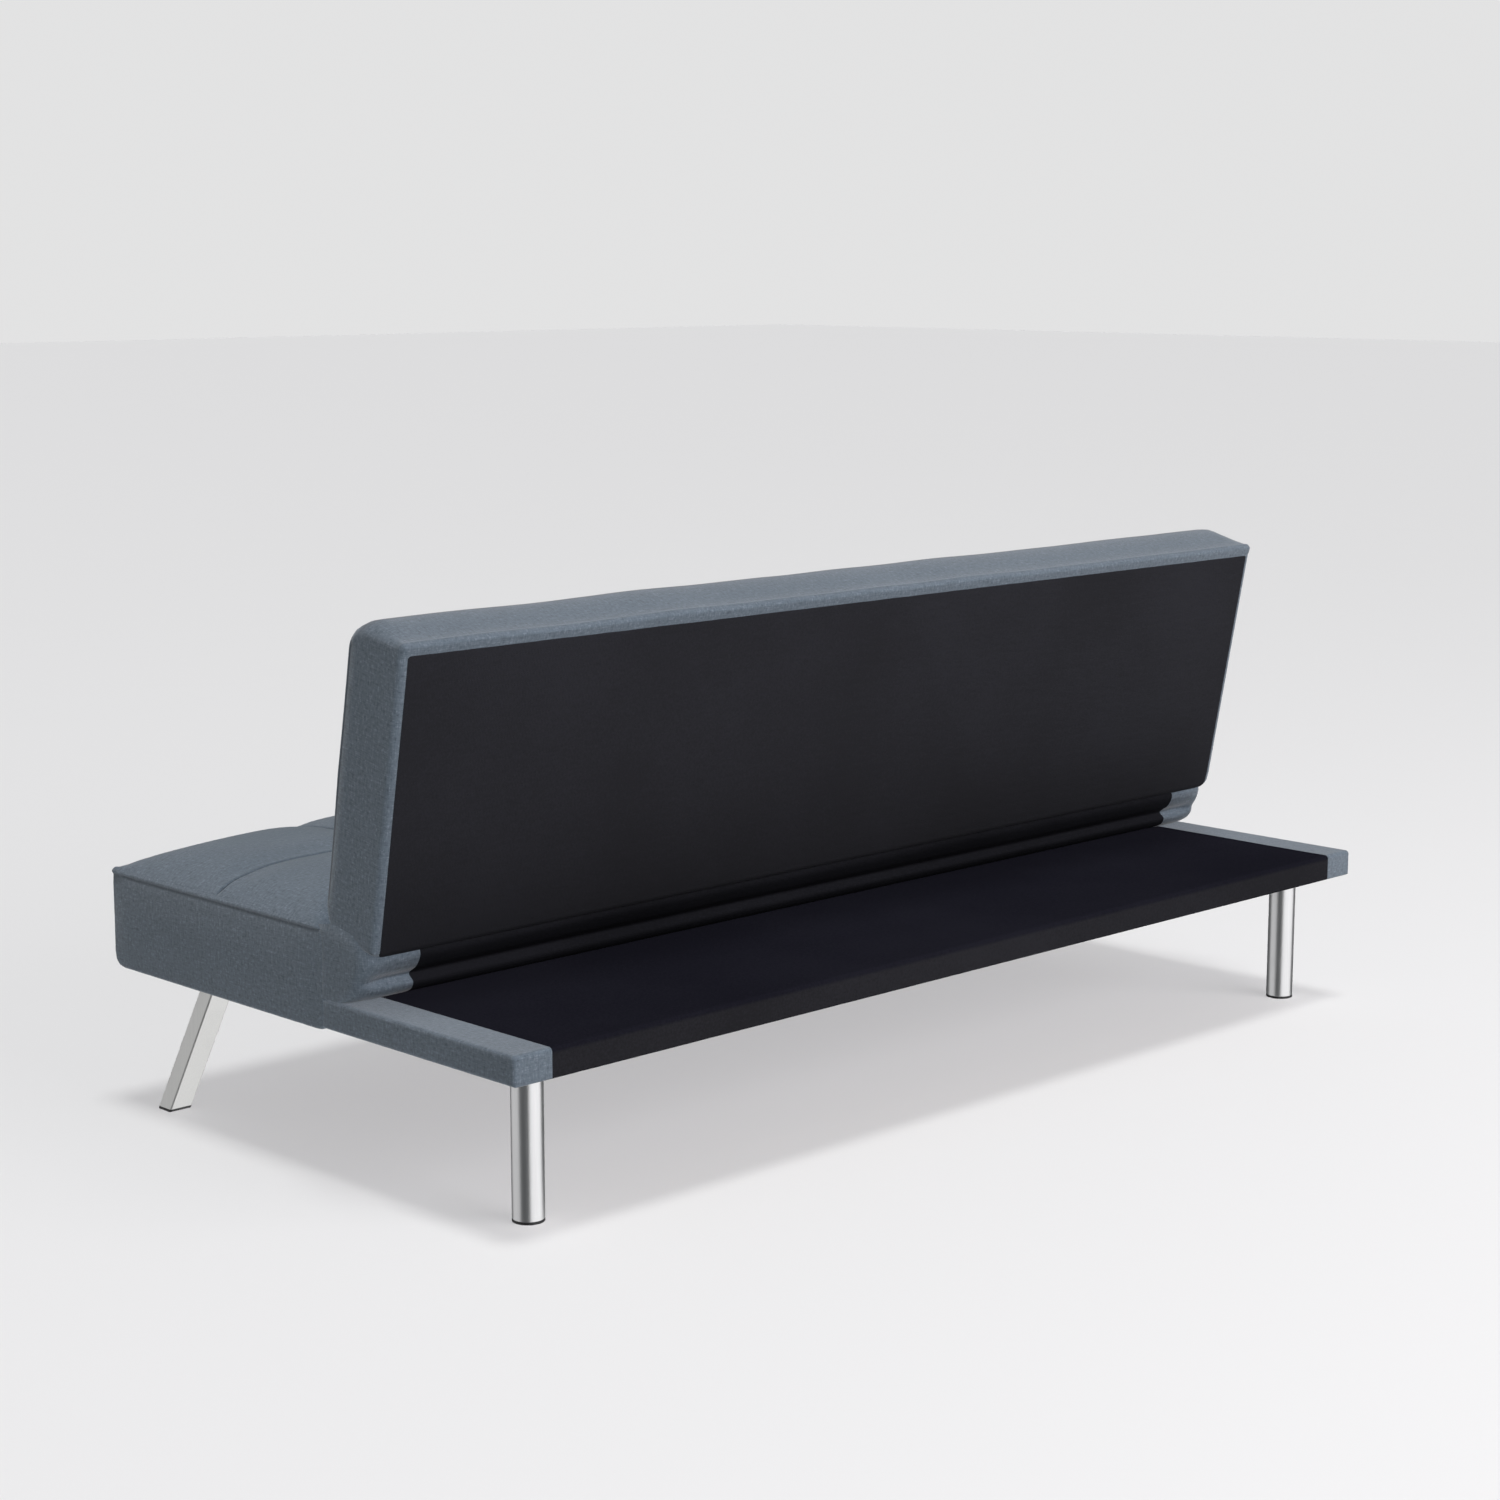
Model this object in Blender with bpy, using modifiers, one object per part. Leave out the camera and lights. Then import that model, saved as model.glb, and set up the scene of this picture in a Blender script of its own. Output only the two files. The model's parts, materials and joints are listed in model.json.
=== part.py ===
"""Futon sofa bed: a wooden base on four metal legs and a backrest that reclines on two ratchet hinges.

Metres, +Z up. X runs along the sofa, the seat faces -Y, and Z = 0 is the floor. Left and right are a
sitter's, so left is +X. Parts of the backrest are modelled in the frame of an empty on the recline axis,
whose Y points out of the backrest's rear face and whose Z runs up along the backrest.
"""

import math

import bmesh
import bpy
from mathutils import Matrix, Vector

# Driving dimensions
WIDTH = 1.68                # over the seat, end to end
DEPTH = 0.845               # seat front to platform rear
PLATFORM_TOP = 0.231        # upper face of the rear platform
PLATFORM_BOTTOM = 0.193
SEAT_BOTTOM = 0.189         # lower edge of the seat cover
SEAT_EDGE = 0.3235          # seam along the ends of the seat
SEAT_CROWN = 0.364          # middle of the seat
SEAT_FRONT_EDGE = 0.3385    # seam along the front of the seat
SEAT_REAR = 0.056           # rear wall of the seat cushion
CROWN_RUN = 0.20            # how far from each end the seat keeps rising

LEAN = math.radians(10.3)   # backrest from upright, at rest
PIVOT = Vector((0.0, 0.1042, 0.2763))
BACK_HALF_WIDTH = 0.836
BACK_REAR = 0.0448          # rear face, from the recline axis
BACK_FRONT = -0.061         # front face
BACK_TOP = 0.4290
BACK_BOTTOM = 0.034

GAP = 0.0003                # between pieces that touch
CLOTH = 0.0012              # upholstery cloth
SHEET = 0.001               # thinner black cloth

HALF_WIDTH = WIDTH / 2
FRONT = -DEPTH / 2
REAR = DEPTH / 2

# Base frame
RAIL_OUTER = HALF_WIDTH - CLOTH - GAP
RAIL_INNER = 0.7873
RAIL_LOW = PLATFORM_BOTTOM + 0.0015
RAIL_HIGH = 0.2254
BOARD_HIGH = PLATFORM_TOP - SHEET - GAP
SLAT_HIGH = 0.2337
FOAM_LOW = SLAT_HIGH + GAP
LIP = 0.0157                # foam in front of the front rail
FRONT_RAIL_DEPTH = 0.040
REAR_RAIL_DEPTH = 0.090
HINGE_RAIL = (0.015, 0.054)
PLATFORM_RAIL = (0.0955, 0.1245)
BRACE_X = 0.28
BRACE_HALF = 0.020
SLAT_COUNT = 5
SLAT_PITCH = 0.30
SLAT_HALF = 0.035
EDGE_BREAK = 0.0015
ROUNDED_BREAK = 0.0025

# Cover edges
END_STRIP_INNER = 0.782     # where the grey end of the platform meets the black middle
GUSSET_SEAM = 0.755         # where the grey end of the hinge cloth meets the black middle
HEM = 0.0375

# Legs
TUBE_WALL = 0.0015
REAR_LEG_X = 0.7633
REAR_LEG_Y = 0.3531
REAR_LEG_RADIUS = 0.020
FLANGE_RADIUS = 0.031
FRONT_LEG_OUTER = 0.823
FRONT_LEG_WIDTH = 0.035
FRONT_LEG_DEEP = 0.0291     # level width of the slanting tube, fore and aft
FRONT_LEG_LEAN = math.radians(30.7)
FRONT_FOOT_Y = -0.3405
LEG_TOP = 0.1888            # underside of the plate on each leg
PLATE_TOP = 0.1912
GLIDE = 0.0032
BOLT_RADIUS = 0.004
BOLT_TOP = 0.214

# Recline hinges, from the outer side inwards
BASE_PLATE_X = (0.7830, 0.7870)
BACK_ARM_X = (0.7780, 0.7820)
PAWL_X = (0.7834, 0.7866)
RIM = 0.0165                # toothed rim of the base plate
NOTCH_FLOOR = 0.0140
NOTCH_WIDTH = 0.0062         # leaves the nose room to swing down
NOTCH_DEEP_END = 0.022      # past the rim
NOTCH_ANGLES = (-5.0, 0.0, 35.0, 79.7)
PIVOT_RADIUS = 0.005
PAWL_PIVOT = (-0.020, 0.024)
PAWL_PIN_RADIUS = 0.0028
PAWL_PIN_HEAD = 0.0042       # head's radius
PAWL_LIFT = 0.0006          # nose above the rim at rest

COLLECTION = "futon_sofa_bed"
CUTTERS = "cutters"

COLOURS = {
    "grey_cloth": ((0.135, 0.165, 0.195), 0.95, 0.0),
    "black_cloth": ((0.016, 0.016, 0.020), 0.90, 0.0),
    "wood": ((0.60, 0.44, 0.27), 0.70, 0.0),
    "board": ((0.42, 0.30, 0.18), 0.75, 0.0),
    "foam": ((0.85, 0.80, 0.62), 0.95, 0.0),
    "chrome": ((0.80, 0.80, 0.81), 0.22, 1.0),
    "satin_metal": ((0.66, 0.67, 0.69), 0.38, 1.0),
    "black_plastic": ((0.02, 0.02, 0.02), 0.55, 0.0),
    "hinge_steel": ((0.09, 0.09, 0.10), 0.45, 0.8),
    "zinc": ((0.62, 0.62, 0.60), 0.35, 1.0),
}


# Scene and materials

def clear_scene():
    for item in list(bpy.data.objects):
        bpy.data.objects.remove(item)


def new_collection(name):
    found = bpy.data.collections.get(name) or bpy.data.collections.new(name)
    if name not in bpy.context.scene.collection.children:
        bpy.context.scene.collection.children.link(found)
    return found


def material_for(name):
    found = bpy.data.materials.get(name)
    if found is None:
        colour, roughness, metallic = COLOURS[name]
        found = bpy.data.materials.new(name)
        found.use_nodes = True
        shader = found.node_tree.nodes["Principled BSDF"]
        shader.inputs["Base Color"].default_value = (*colour, 1.0)
        shader.inputs["Roughness"].default_value = roughness
        shader.inputs["Metallic"].default_value = metallic
    return found


def new_object(name, mesh, finish, parent=None):
    mesh.name = name
    piece = bpy.data.objects.new(name, mesh)
    new_collection(COLLECTION).objects.link(piece)
    mesh.materials.clear()
    own = material_for(finish).copy()
    own.name = f"{name}_{finish}"
    mesh.materials.append(own)
    piece.parent = parent
    return piece


def new_empty(name, place, turn_x=0.0, parent=None):
    empty = bpy.data.objects.new(name, None)
    empty.empty_display_size = 0.05
    empty.location = place
    empty.rotation_euler = (turn_x, 0.0, 0.0)
    empty.parent = parent
    new_collection(COLLECTION).objects.link(empty)
    return empty


# Shapes

def mesh_from(bm):
    bmesh.ops.recalc_face_normals(bm, faces=bm.faces[:])
    mesh = bpy.data.meshes.new("shape")
    bm.to_mesh(mesh)
    bm.free()
    return mesh


def box_bmesh(low, high):
    bm = bmesh.new()
    low, high = Vector(low), Vector(high)
    bmesh.ops.create_cube(bm, size=1.0)
    bmesh.ops.scale(bm, vec=high - low, verts=bm.verts[:])
    bmesh.ops.translate(bm, vec=(low + high) / 2, verts=bm.verts[:])
    return bm


def box(name, low, high, finish, parent=None, edge=EDGE_BREAK):
    piece = new_object(name, mesh_from(box_bmesh(low, high)), finish, parent)
    if edge:
        add_bevel(piece, edge, 1)
    return piece


def add_bevel(piece, width, segments, angle=40.0):
    bevel = piece.modifiers.new("bevel", "BEVEL")
    bevel.width = width
    bevel.segments = segments
    bevel.limit_method = "ANGLE"
    bevel.angle_limit = math.radians(angle)
    return bevel


def add_solidify(piece, thickness):
    """Wall the open surface inwards."""
    wall = piece.modifiers.new("wall", "SOLIDIFY")
    wall.thickness = thickness
    wall.offset = -1.0
    wall.use_even_offset = True
    return wall


def prism_bmesh(outline, x_low, x_high):
    """A closed prism along X over an outline of (y, z) points."""
    bm = bmesh.new()
    verts = [bm.verts.new((x_low, y, z)) for y, z in outline]
    bm.faces.new(verts)
    pulled = bmesh.ops.extrude_face_region(bm, geom=bm.faces[:])
    moved = [item for item in pulled["geom"] if isinstance(item, bmesh.types.BMVert)]
    bmesh.ops.translate(bm, vec=(x_high - x_low, 0.0, 0.0), verts=moved)
    return bm


def prism(name, outline, x_low, x_high, finish, parent=None):
    return new_object(name, mesh_from(prism_bmesh(outline, x_low, x_high)), finish, parent)


def slice_at(bm, axis, places):
    for place in places:
        point = Vector((0.0, 0.0, 0.0))
        normal = Vector((0.0, 0.0, 0.0))
        point[axis] = place
        normal[axis] = 1.0
        geometry = bm.verts[:] + bm.edges[:] + bm.faces[:]
        bmesh.ops.bisect_plane(bm, geom=geometry, dist=1e-6, plane_co=point, plane_no=normal)


def drop_faces(bm, unwanted):
    bm.normal_update()
    chosen = [face for face in bm.faces if unwanted(face.calc_center_median(), face.normal)]
    bmesh.ops.delete(bm, geom=chosen, context="FACES")


def strip(name, path, x_low, x_high, thickness, finish, parent=None):
    """A cloth strip along X over an open path of (y, z) points, walled to the right of the path's run."""
    bm = bmesh.new()
    verts = [bm.verts.new((x_low, y, z)) for y, z in path]
    for first, second in zip(verts, verts[1:]):
        bm.edges.new((first, second))
    pulled = bmesh.ops.extrude_edge_only(bm, edges=bm.edges[:])
    moved = [item for item in pulled["geom"] if isinstance(item, bmesh.types.BMVert)]
    bmesh.ops.translate(bm, vec=(x_high - x_low, 0.0, 0.0), verts=moved)
    bm.normal_update()
    first_face = min(bm.faces, key=lambda face: (face.calc_center_median() - verts[0].co).length)
    run = Vector((0.0, path[1][0] - path[0][0], path[1][1] - path[0][1]))
    left_side = Vector((1.0, 0.0, 0.0)).cross(run)
    if first_face.normal.dot(left_side) < 0:
        bmesh.ops.reverse_faces(bm, faces=bm.faces[:])
    mesh = bpy.data.meshes.new("shape")
    bm.to_mesh(mesh)
    bm.free()
    piece = new_object(name, mesh, finish, parent)
    add_solidify(piece, thickness)
    return piece


def turned(name, profile, place, finish, axis="Z", parent=None, steps=32):
    """Screw a closed (radius, height) profile about Z, then lay it along the named axis."""
    mesh = bpy.data.meshes.new("shape")
    points = [(radius, 0.0, height) for radius, height in profile]
    edges = [(i, (i + 1) % len(points)) for i in range(len(points))]
    if profile[0][0] == 0.0 and profile[-1][0] == 0.0:
        edges.pop()
    mesh.from_pydata(points, edges, [])
    piece = new_object(name, mesh, finish, parent)
    screw = piece.modifiers.new("turn", "SCREW")
    screw.steps = steps
    screw.render_steps = steps
    screw.use_merge_vertices = True
    screw.merge_threshold = 0.00001
    piece.location = place
    if axis == "X":
        piece.rotation_euler = (0.0, math.radians(90), 0.0)
    return piece


def arc(centre, radius, start, end, count):
    """Points round a centre, angles in degrees from the first axis towards the second."""
    found = []
    for i in range(count + 1):
        angle = math.radians(start + (end - start) * i / count)
        found.append((centre[0] + radius * math.cos(angle), centre[1] + radius * math.sin(angle)))
    return found


def cylinder_cutter(name, centre, axis, radius, low, high, parent=None, sides=24):
    bm = bmesh.new()
    bmesh.ops.create_cone(bm, cap_ends=True, segments=sides, radius1=radius, radius2=radius,
                          depth=high - low)
    middle = Vector(centre)
    if axis == "X":
        bmesh.ops.rotate(bm, matrix=Matrix.Rotation(math.radians(90), 3, "Y"), verts=bm.verts[:])
        middle.x = (low + high) / 2
    else:
        middle.z = (low + high) / 2
    bmesh.ops.translate(bm, vec=middle, verts=bm.verts[:])
    return as_cutter(name, mesh_from(bm), parent)


def as_cutter(name, mesh, parent=None):
    cutter = bpy.data.objects.new(f"cut_{name}", mesh)
    new_collection(CUTTERS).objects.link(cutter)
    cutter.parent = parent
    cutter.hide_render = True
    cutter.display_type = "WIRE"
    return cutter


def combine(piece, other, operation="DIFFERENCE"):
    change = piece.modifiers.new(operation.lower(), "BOOLEAN")
    change.operation = operation
    change.solver = "EXACT"
    change.object = other
    return change


def both_sides(make):
    """Call make(name ending, sign) for the left end (+X) and the right end (-X)."""
    for ending, sign in (("left", 1), ("right", -1)):
        make(ending, sign)


def span(sign, low, high):
    """The X interval from low to high on the side that sign names, lower end first."""
    return (low, high) if sign > 0 else (-high, -low)


# Base frame

def base_frame():
    front_face = FRONT + LIP
    side_front = front_face + FRONT_RAIL_DEPTH + GAP
    rear_face = REAR - CLOTH - GAP
    side_rear = rear_face - REAR_RAIL_DEPTH - GAP
    box("frame_front_rail", (-RAIL_OUTER, front_face, RAIL_LOW),
        (RAIL_OUTER, front_face + FRONT_RAIL_DEPTH, RAIL_HIGH), "wood")
    rear_rail = box("frame_rear_rail", (-RAIL_OUTER, rear_face - REAR_RAIL_DEPTH, RAIL_LOW),
                    (RAIL_OUTER, rear_face, RAIL_HIGH), "wood", edge=ROUNDED_BREAK)

    def side(ending, sign):
        low, high = span(sign, RAIL_INNER, RAIL_OUTER)
        rail = box(f"frame_side_rail_{ending}",
                   (low, side_front, RAIL_LOW), (high, side_rear, RAIL_HIGH), "wood")
        bolt_hole(rail, sign * front_leg_x(), front_bolt_y())
        bolt_hole(rear_rail, sign * REAR_LEG_X, REAR_LEG_Y)
        low, high = span(sign, BRACE_X - BRACE_HALF, BRACE_X + BRACE_HALF)
        box(f"frame_seat_brace_{ending}", (low, side_front, RAIL_LOW),
            (high, HINGE_RAIL[0] - GAP, RAIL_HIGH), "wood")
        box(f"frame_platform_brace_{ending}", (low, PLATFORM_RAIL[1] + GAP, RAIL_LOW),
            (high, side_rear, RAIL_HIGH), "wood")

    both_sides(side)
    box("frame_hinge_rail", (-RAIL_INNER + GAP, HINGE_RAIL[0], RAIL_LOW),
        (RAIL_INNER - GAP, HINGE_RAIL[1], RAIL_HIGH), "wood")
    reach = BACK_ARM_X[0] - 0.001
    box("frame_platform_rail", (-reach, PLATFORM_RAIL[0], RAIL_LOW),
        (reach, PLATFORM_RAIL[1], BOARD_HIGH), "wood")
    inside_bend = 0.004
    box("platform_board", (-RAIL_OUTER + inside_bend, PLATFORM_RAIL[1] + GAP, RAIL_HIGH + GAP),
        (RAIL_OUTER - inside_bend, rear_face - inside_bend, BOARD_HIGH), "board", edge=0)
    for i in range(SLAT_COUNT):
        middle = (i - (SLAT_COUNT - 1) / 2) * SLAT_PITCH
        box(f"seat_slat_{i + 1}", (middle - SLAT_HALF, front_face + GAP, RAIL_HIGH + GAP),
            (middle + SLAT_HALF, HINGE_RAIL[1] - 0.001, SLAT_HIGH), "wood")


def bolt_hole(rail, x, y):
    cutter = cylinder_cutter(f"{rail.name}_{len(rail.modifiers)}", (x, y, 0.0), "Z",
                             BOLT_RADIUS + 0.0005, RAIL_LOW - 0.005, BOLT_TOP + 0.003, sides=16)
    combine(rail, cutter)


# Seat

def seat_outline(inset):
    """Side outline of the seat cushion, clockwise from the lower front corner's arc, as (y, z)."""
    corner = 0.020
    centre = (FRONT + corner, SEAT_BOTTOM + corner)
    bottom_arc = arc(centre, corner - inset, 270, 180, 4)
    rise = SEAT_CROWN - SEAT_FRONT_EDGE
    run = 0.12
    steps = 5
    front_curve = []
    for i in range(steps + 1):
        angle = math.radians(90 * i / steps)
        y = FRONT + inset + run * (1 - math.cos(angle))
        front_curve.append((y, SEAT_FRONT_EDGE - inset + rise * math.sin(angle)))
    rear = SEAT_REAR - inset
    rear_curve = [(rear - 0.036, SEAT_CROWN - inset), (rear - 0.016, 0.358 - inset),
                  (rear - 0.006, 0.342 - inset), (rear, SEAT_EDGE - inset)]
    return bottom_arc, front_curve + rear_curve


def crown_ends(bm, edge_height):
    """Lower the top of the cushion towards the seams along its two ends."""
    for vert in bm.verts:
        if vert.co.z > edge_height:
            inward = min(1.0, (HALF_WIDTH - abs(vert.co.x)) / CROWN_RUN)
            share = 1 - (1 - inward) ** 3
            vert.co.z = edge_height + (vert.co.z - edge_height) * share


def crown_slices(bm):
    for share in (0.06, 0.16, 0.30, 0.50, 0.75, 1.0):
        place = HALF_WIDTH - share * CROWN_RUN
        slice_at(bm, 0, (place, -place))


def seat():
    inset = CLOTH + 0.0008
    bottom_arc, upper = seat_outline(inset)
    lip_rear = FRONT + LIP - GAP
    lip = [point for point in bottom_arc if point[0] < lip_rear]
    lip.insert(0, (lip_rear, SEAT_BOTTOM + inset + 0.0006))
    rear = SEAT_REAR - inset
    outline = lip + upper + [(rear, FOAM_LOW), (lip_rear, FOAM_LOW)]
    reach = HALF_WIDTH - inset
    bm = prism_bmesh(outline, -reach, reach)
    crown_slices(bm)
    crown_ends(bm, SEAT_EDGE - inset)
    new_object("seat_foam", mesh_from(bm), "foam")

    bottom_arc, upper = seat_outline(0.0)
    bm = prism_bmesh(bottom_arc + upper + [(SEAT_REAR, SEAT_BOTTOM)], -HALF_WIDTH, HALF_WIDTH)
    crown_slices(bm)
    crown_ends(bm, SEAT_EDGE)
    side_hem = HALF_WIDTH - 0.012
    rear_edge = FOAM_LOW + 0.002
    slice_at(bm, 0, (side_hem, -side_hem))
    slice_at(bm, 1, (FRONT + HEM,))
    slice_at(bm, 2, (rear_edge,))
    bmesh.ops.recalc_face_normals(bm, faces=bm.faces[:])

    def open_part(centre, normal):
        below = normal.z < -0.9 and abs(centre.x) < side_hem and centre.y > FRONT + HEM
        behind = normal.y > 0.9 and centre.z < rear_edge
        return below or behind

    drop_faces(bm, open_part)
    mesh = bpy.data.meshes.new("shape")
    bm.to_mesh(mesh)
    bm.free()
    add_solidify(new_object("seat_cover", mesh, "grey_cloth"), CLOTH)


# Platform cloth and the underside

def platform_cloth():
    reach = END_STRIP_INNER - GAP
    round_edge = 0.005
    upper = arc((REAR - round_edge, PLATFORM_TOP - round_edge), round_edge, 90, 0, 3)
    lower = arc((REAR - round_edge, PLATFORM_BOTTOM + round_edge), round_edge, 0, -90, 3)
    path = [(0.078, PLATFORM_TOP)] + upper + lower + [(REAR - HEM, PLATFORM_BOTTOM)]
    strip("platform_cover", path, -reach, reach, SHEET, "black_cloth")
    both_sides(platform_end)
    dust_cover()


def platform_end(ending, sign):
    """Grey end of the platform: a cap over its top, end and rear, turned under at the bottom."""
    front = SEAT_REAR + 0.0015
    top_front = 0.0975
    x_low, x_high = span(sign, END_STRIP_INNER, HALF_WIDTH)
    bm = box_bmesh((x_low, front, PLATFORM_BOTTOM), (x_high, REAR, PLATFORM_TOP))
    hem_x = sign * (HALF_WIDTH - 0.012)
    slice_at(bm, 0, (hem_x,))
    slice_at(bm, 1, (top_front, REAR - HEM))
    bmesh.ops.recalc_face_normals(bm, faces=bm.faces[:])

    def open_part(centre, normal):
        inner_side = normal.x * sign < -0.9
        front_side = normal.y < -0.9
        below = normal.z < -0.9 and abs(centre.x) < abs(hem_x) and centre.y < REAR - HEM
        tucked = normal.z > 0.9 and centre.y < top_front
        return inner_side or front_side or below or tucked

    drop_faces(bm, open_part)
    mesh = bpy.data.meshes.new("shape")
    bm.to_mesh(mesh)
    bm.free()
    piece = new_object(f"platform_end_{ending}", mesh, "grey_cloth")
    add_bevel(piece, 0.004, 2)
    add_solidify(piece, SHEET)


def dust_cover():
    sheet = box("dust_cover", (-0.805, FRONT + HEM + 0.004, 0.1915), (0.805, REAR - HEM - 0.004, 0.1923),
                "black_cloth", edge=0)
    for sign in (1, -1):
        for x, y in ((front_leg_x(), front_bolt_y()), (REAR_LEG_X, REAR_LEG_Y)):
            cutter = cylinder_cutter(f"dust_{len(sheet.modifiers)}", (sign * x, y, 0.0), "Z",
                                     BOLT_RADIUS + 0.001, 0.185, 0.200, sides=16)
            combine(sheet, cutter)


# Legs

def front_leg_x():
    return FRONT_LEG_OUTER - FRONT_LEG_WIDTH / 2


def front_leg_y(height):
    return FRONT_FOOT_Y + height * math.tan(FRONT_LEG_LEAN)


def front_bolt_y():
    return front_leg_y(LEG_TOP)


def slanted(low, high, half_depth):
    """Side outline of the leaning tube between two heights."""
    return [(front_leg_y(low) - half_depth, low), (front_leg_y(high) - half_depth, high),
            (front_leg_y(high) + half_depth, high), (front_leg_y(low) + half_depth, low)]


def front_leg(ending, sign):
    x_low, x_high = span(sign, FRONT_LEG_OUTER - FRONT_LEG_WIDTH, FRONT_LEG_OUTER)
    half = FRONT_LEG_DEEP / 2
    wall = TUBE_WALL / math.cos(FRONT_LEG_LEAN)
    outline = slanted(GLIDE + GAP, LEG_TOP + 0.0005, half)
    leg = prism(f"front_leg_{ending}", outline, x_low, x_high, "satin_metal")
    plate_low, plate_high = span(sign, 0.768, 0.8265)
    plate = as_cutter(f"front_plate_{ending}", mesh_from(box_bmesh(
        (plate_low, front_bolt_y() - 0.042, LEG_TOP), (plate_high, front_bolt_y() + 0.042, PLATE_TOP))))
    combine(leg, plate, "UNION")
    bore = as_cutter(f"front_bore_{ending}", mesh_from(prism_bmesh(
        slanted(-0.01, LEG_TOP, half - wall), x_low + TUBE_WALL, x_high - TUBE_WALL)))
    combine(leg, bore)
    hole = cylinder_cutter(f"front_hole_{ending}", (sign * front_leg_x(), front_bolt_y(), 0.0), "Z",
                           BOLT_RADIUS + 0.0005, 0.18, 0.20, sides=16)
    combine(leg, hole)
    leg_bolt(f"front_leg_bolt_{ending}", sign * front_leg_x(), front_bolt_y())

    outline = slanted(0.0, GLIDE, half)
    glide = prism(f"front_glide_{ending}", outline, x_low, x_high, "black_plastic")
    stub = as_cutter(f"front_stub_{ending}", mesh_from(prism_bmesh(
        slanted(GLIDE - 0.001, 0.014, half - wall - GAP), x_low + TUBE_WALL + GAP, x_high - TUBE_WALL - GAP)))
    combine(glide, stub, "UNION")


def rear_leg(ending, sign):
    outer = REAR_LEG_RADIUS
    inner = outer - TUBE_WALL
    hole = BOLT_RADIUS + 0.0005
    place = (sign * REAR_LEG_X, REAR_LEG_Y, 0.0)
    profile = [(FLANGE_RADIUS, PLATE_TOP), (FLANGE_RADIUS, LEG_TOP), (outer, LEG_TOP), (outer, GLIDE + GAP),
               (inner, GLIDE + GAP), (inner, LEG_TOP), (hole, LEG_TOP), (hole, PLATE_TOP)]
    turned(f"rear_leg_{ending}", profile, place, "chrome", steps=40)
    stub = inner - GAP
    glide = [(0.0, 0.014), (stub, 0.014), (stub, GLIDE), (outer, GLIDE), (outer, 0.0), (0.0, 0.0)]
    turned(f"rear_glide_{ending}", glide, place, "black_plastic", steps=40)
    leg_bolt(f"rear_leg_bolt_{ending}", sign * REAR_LEG_X, REAR_LEG_Y)


def leg_bolt(name, x, y):
    head_low = LEG_TOP - 0.0055
    head_high = LEG_TOP - GAP
    profile = [(0.0, BOLT_TOP), (BOLT_RADIUS, BOLT_TOP), (BOLT_RADIUS, head_high), (0.0065, head_high),
               (0.0065, head_low), (0.0, head_low)]
    turned(name, profile, (x, y, 0.0), "zinc", steps=16)


# Hinges

def base_plate(ending, sign):
    """Steel plate on the side rail, with the toothed rim that the pawl drops into."""
    x_low, x_high = span(sign, *BASE_PLATE_X)
    centre = (PIVOT.y, PIVOT.z)
    rim = arc(centre, RIM, -40, 215, 30)
    foot = [(0.078, 0.244), (0.074, 0.2235), (0.060, 0.2235),
            (0.060, 0.199), (0.094, 0.199), (0.094, 0.244)]
    outline = list(reversed(rim + foot))
    plate = prism(f"hinge_base_plate_{ending}", outline, x_low, x_high, "hinge_steel")
    hole = cylinder_cutter(f"base_hole_{ending}", PIVOT, "X", PIVOT_RADIUS + 0.0003,
                           x_low - 0.005, x_high + 0.005)
    combine(plate, hole)
    for i, angle in enumerate(NOTCH_ANGLES):
        bm = box_bmesh((x_low - 0.001, -NOTCH_WIDTH / 2, NOTCH_FLOOR),
                       (x_high + 0.001, NOTCH_WIDTH / 2, NOTCH_DEEP_END))
        turn = Matrix.Rotation(-LEAN - math.radians(angle), 4, "X")
        bmesh.ops.transform(bm, matrix=Matrix.Translation(PIVOT) @ turn, verts=bm.verts[:])
        combine(plate, as_cutter(f"notch_{ending}_{i}", mesh_from(bm)))


def pivot_hardware(ending, sign):
    head_x, shank_end = BASE_PLATE_X[1] + GAP, 0.7700
    head_end = head_x + 0.0035
    profile = [(0.0, head_end), (0.0085, head_end), (0.009, head_end - 0.0008), (0.009, head_x),
               (PIVOT_RADIUS, head_x), (PIVOT_RADIUS, shank_end), (0.0, shank_end)]
    bolt = turned(f"pivot_bolt_{ending}", profile, PIVOT, "zinc", axis="X", steps=24)
    if sign < 0:
        bolt.rotation_euler = (0.0, math.radians(-90), 0.0)
    x_low, x_high = span(sign, 0.7717, BACK_ARM_X[0] - GAP)
    nut = prism(f"pivot_nut_{ending}", arc((PIVOT.y, PIVOT.z), 0.009, 300, 0, 5), x_low, x_high, "zinc")
    hole = cylinder_cutter(f"nut_{ending}", PIVOT, "X", PIVOT_RADIUS + GAP, x_low - 0.002, x_high + 0.002)
    combine(nut, hole)


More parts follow.
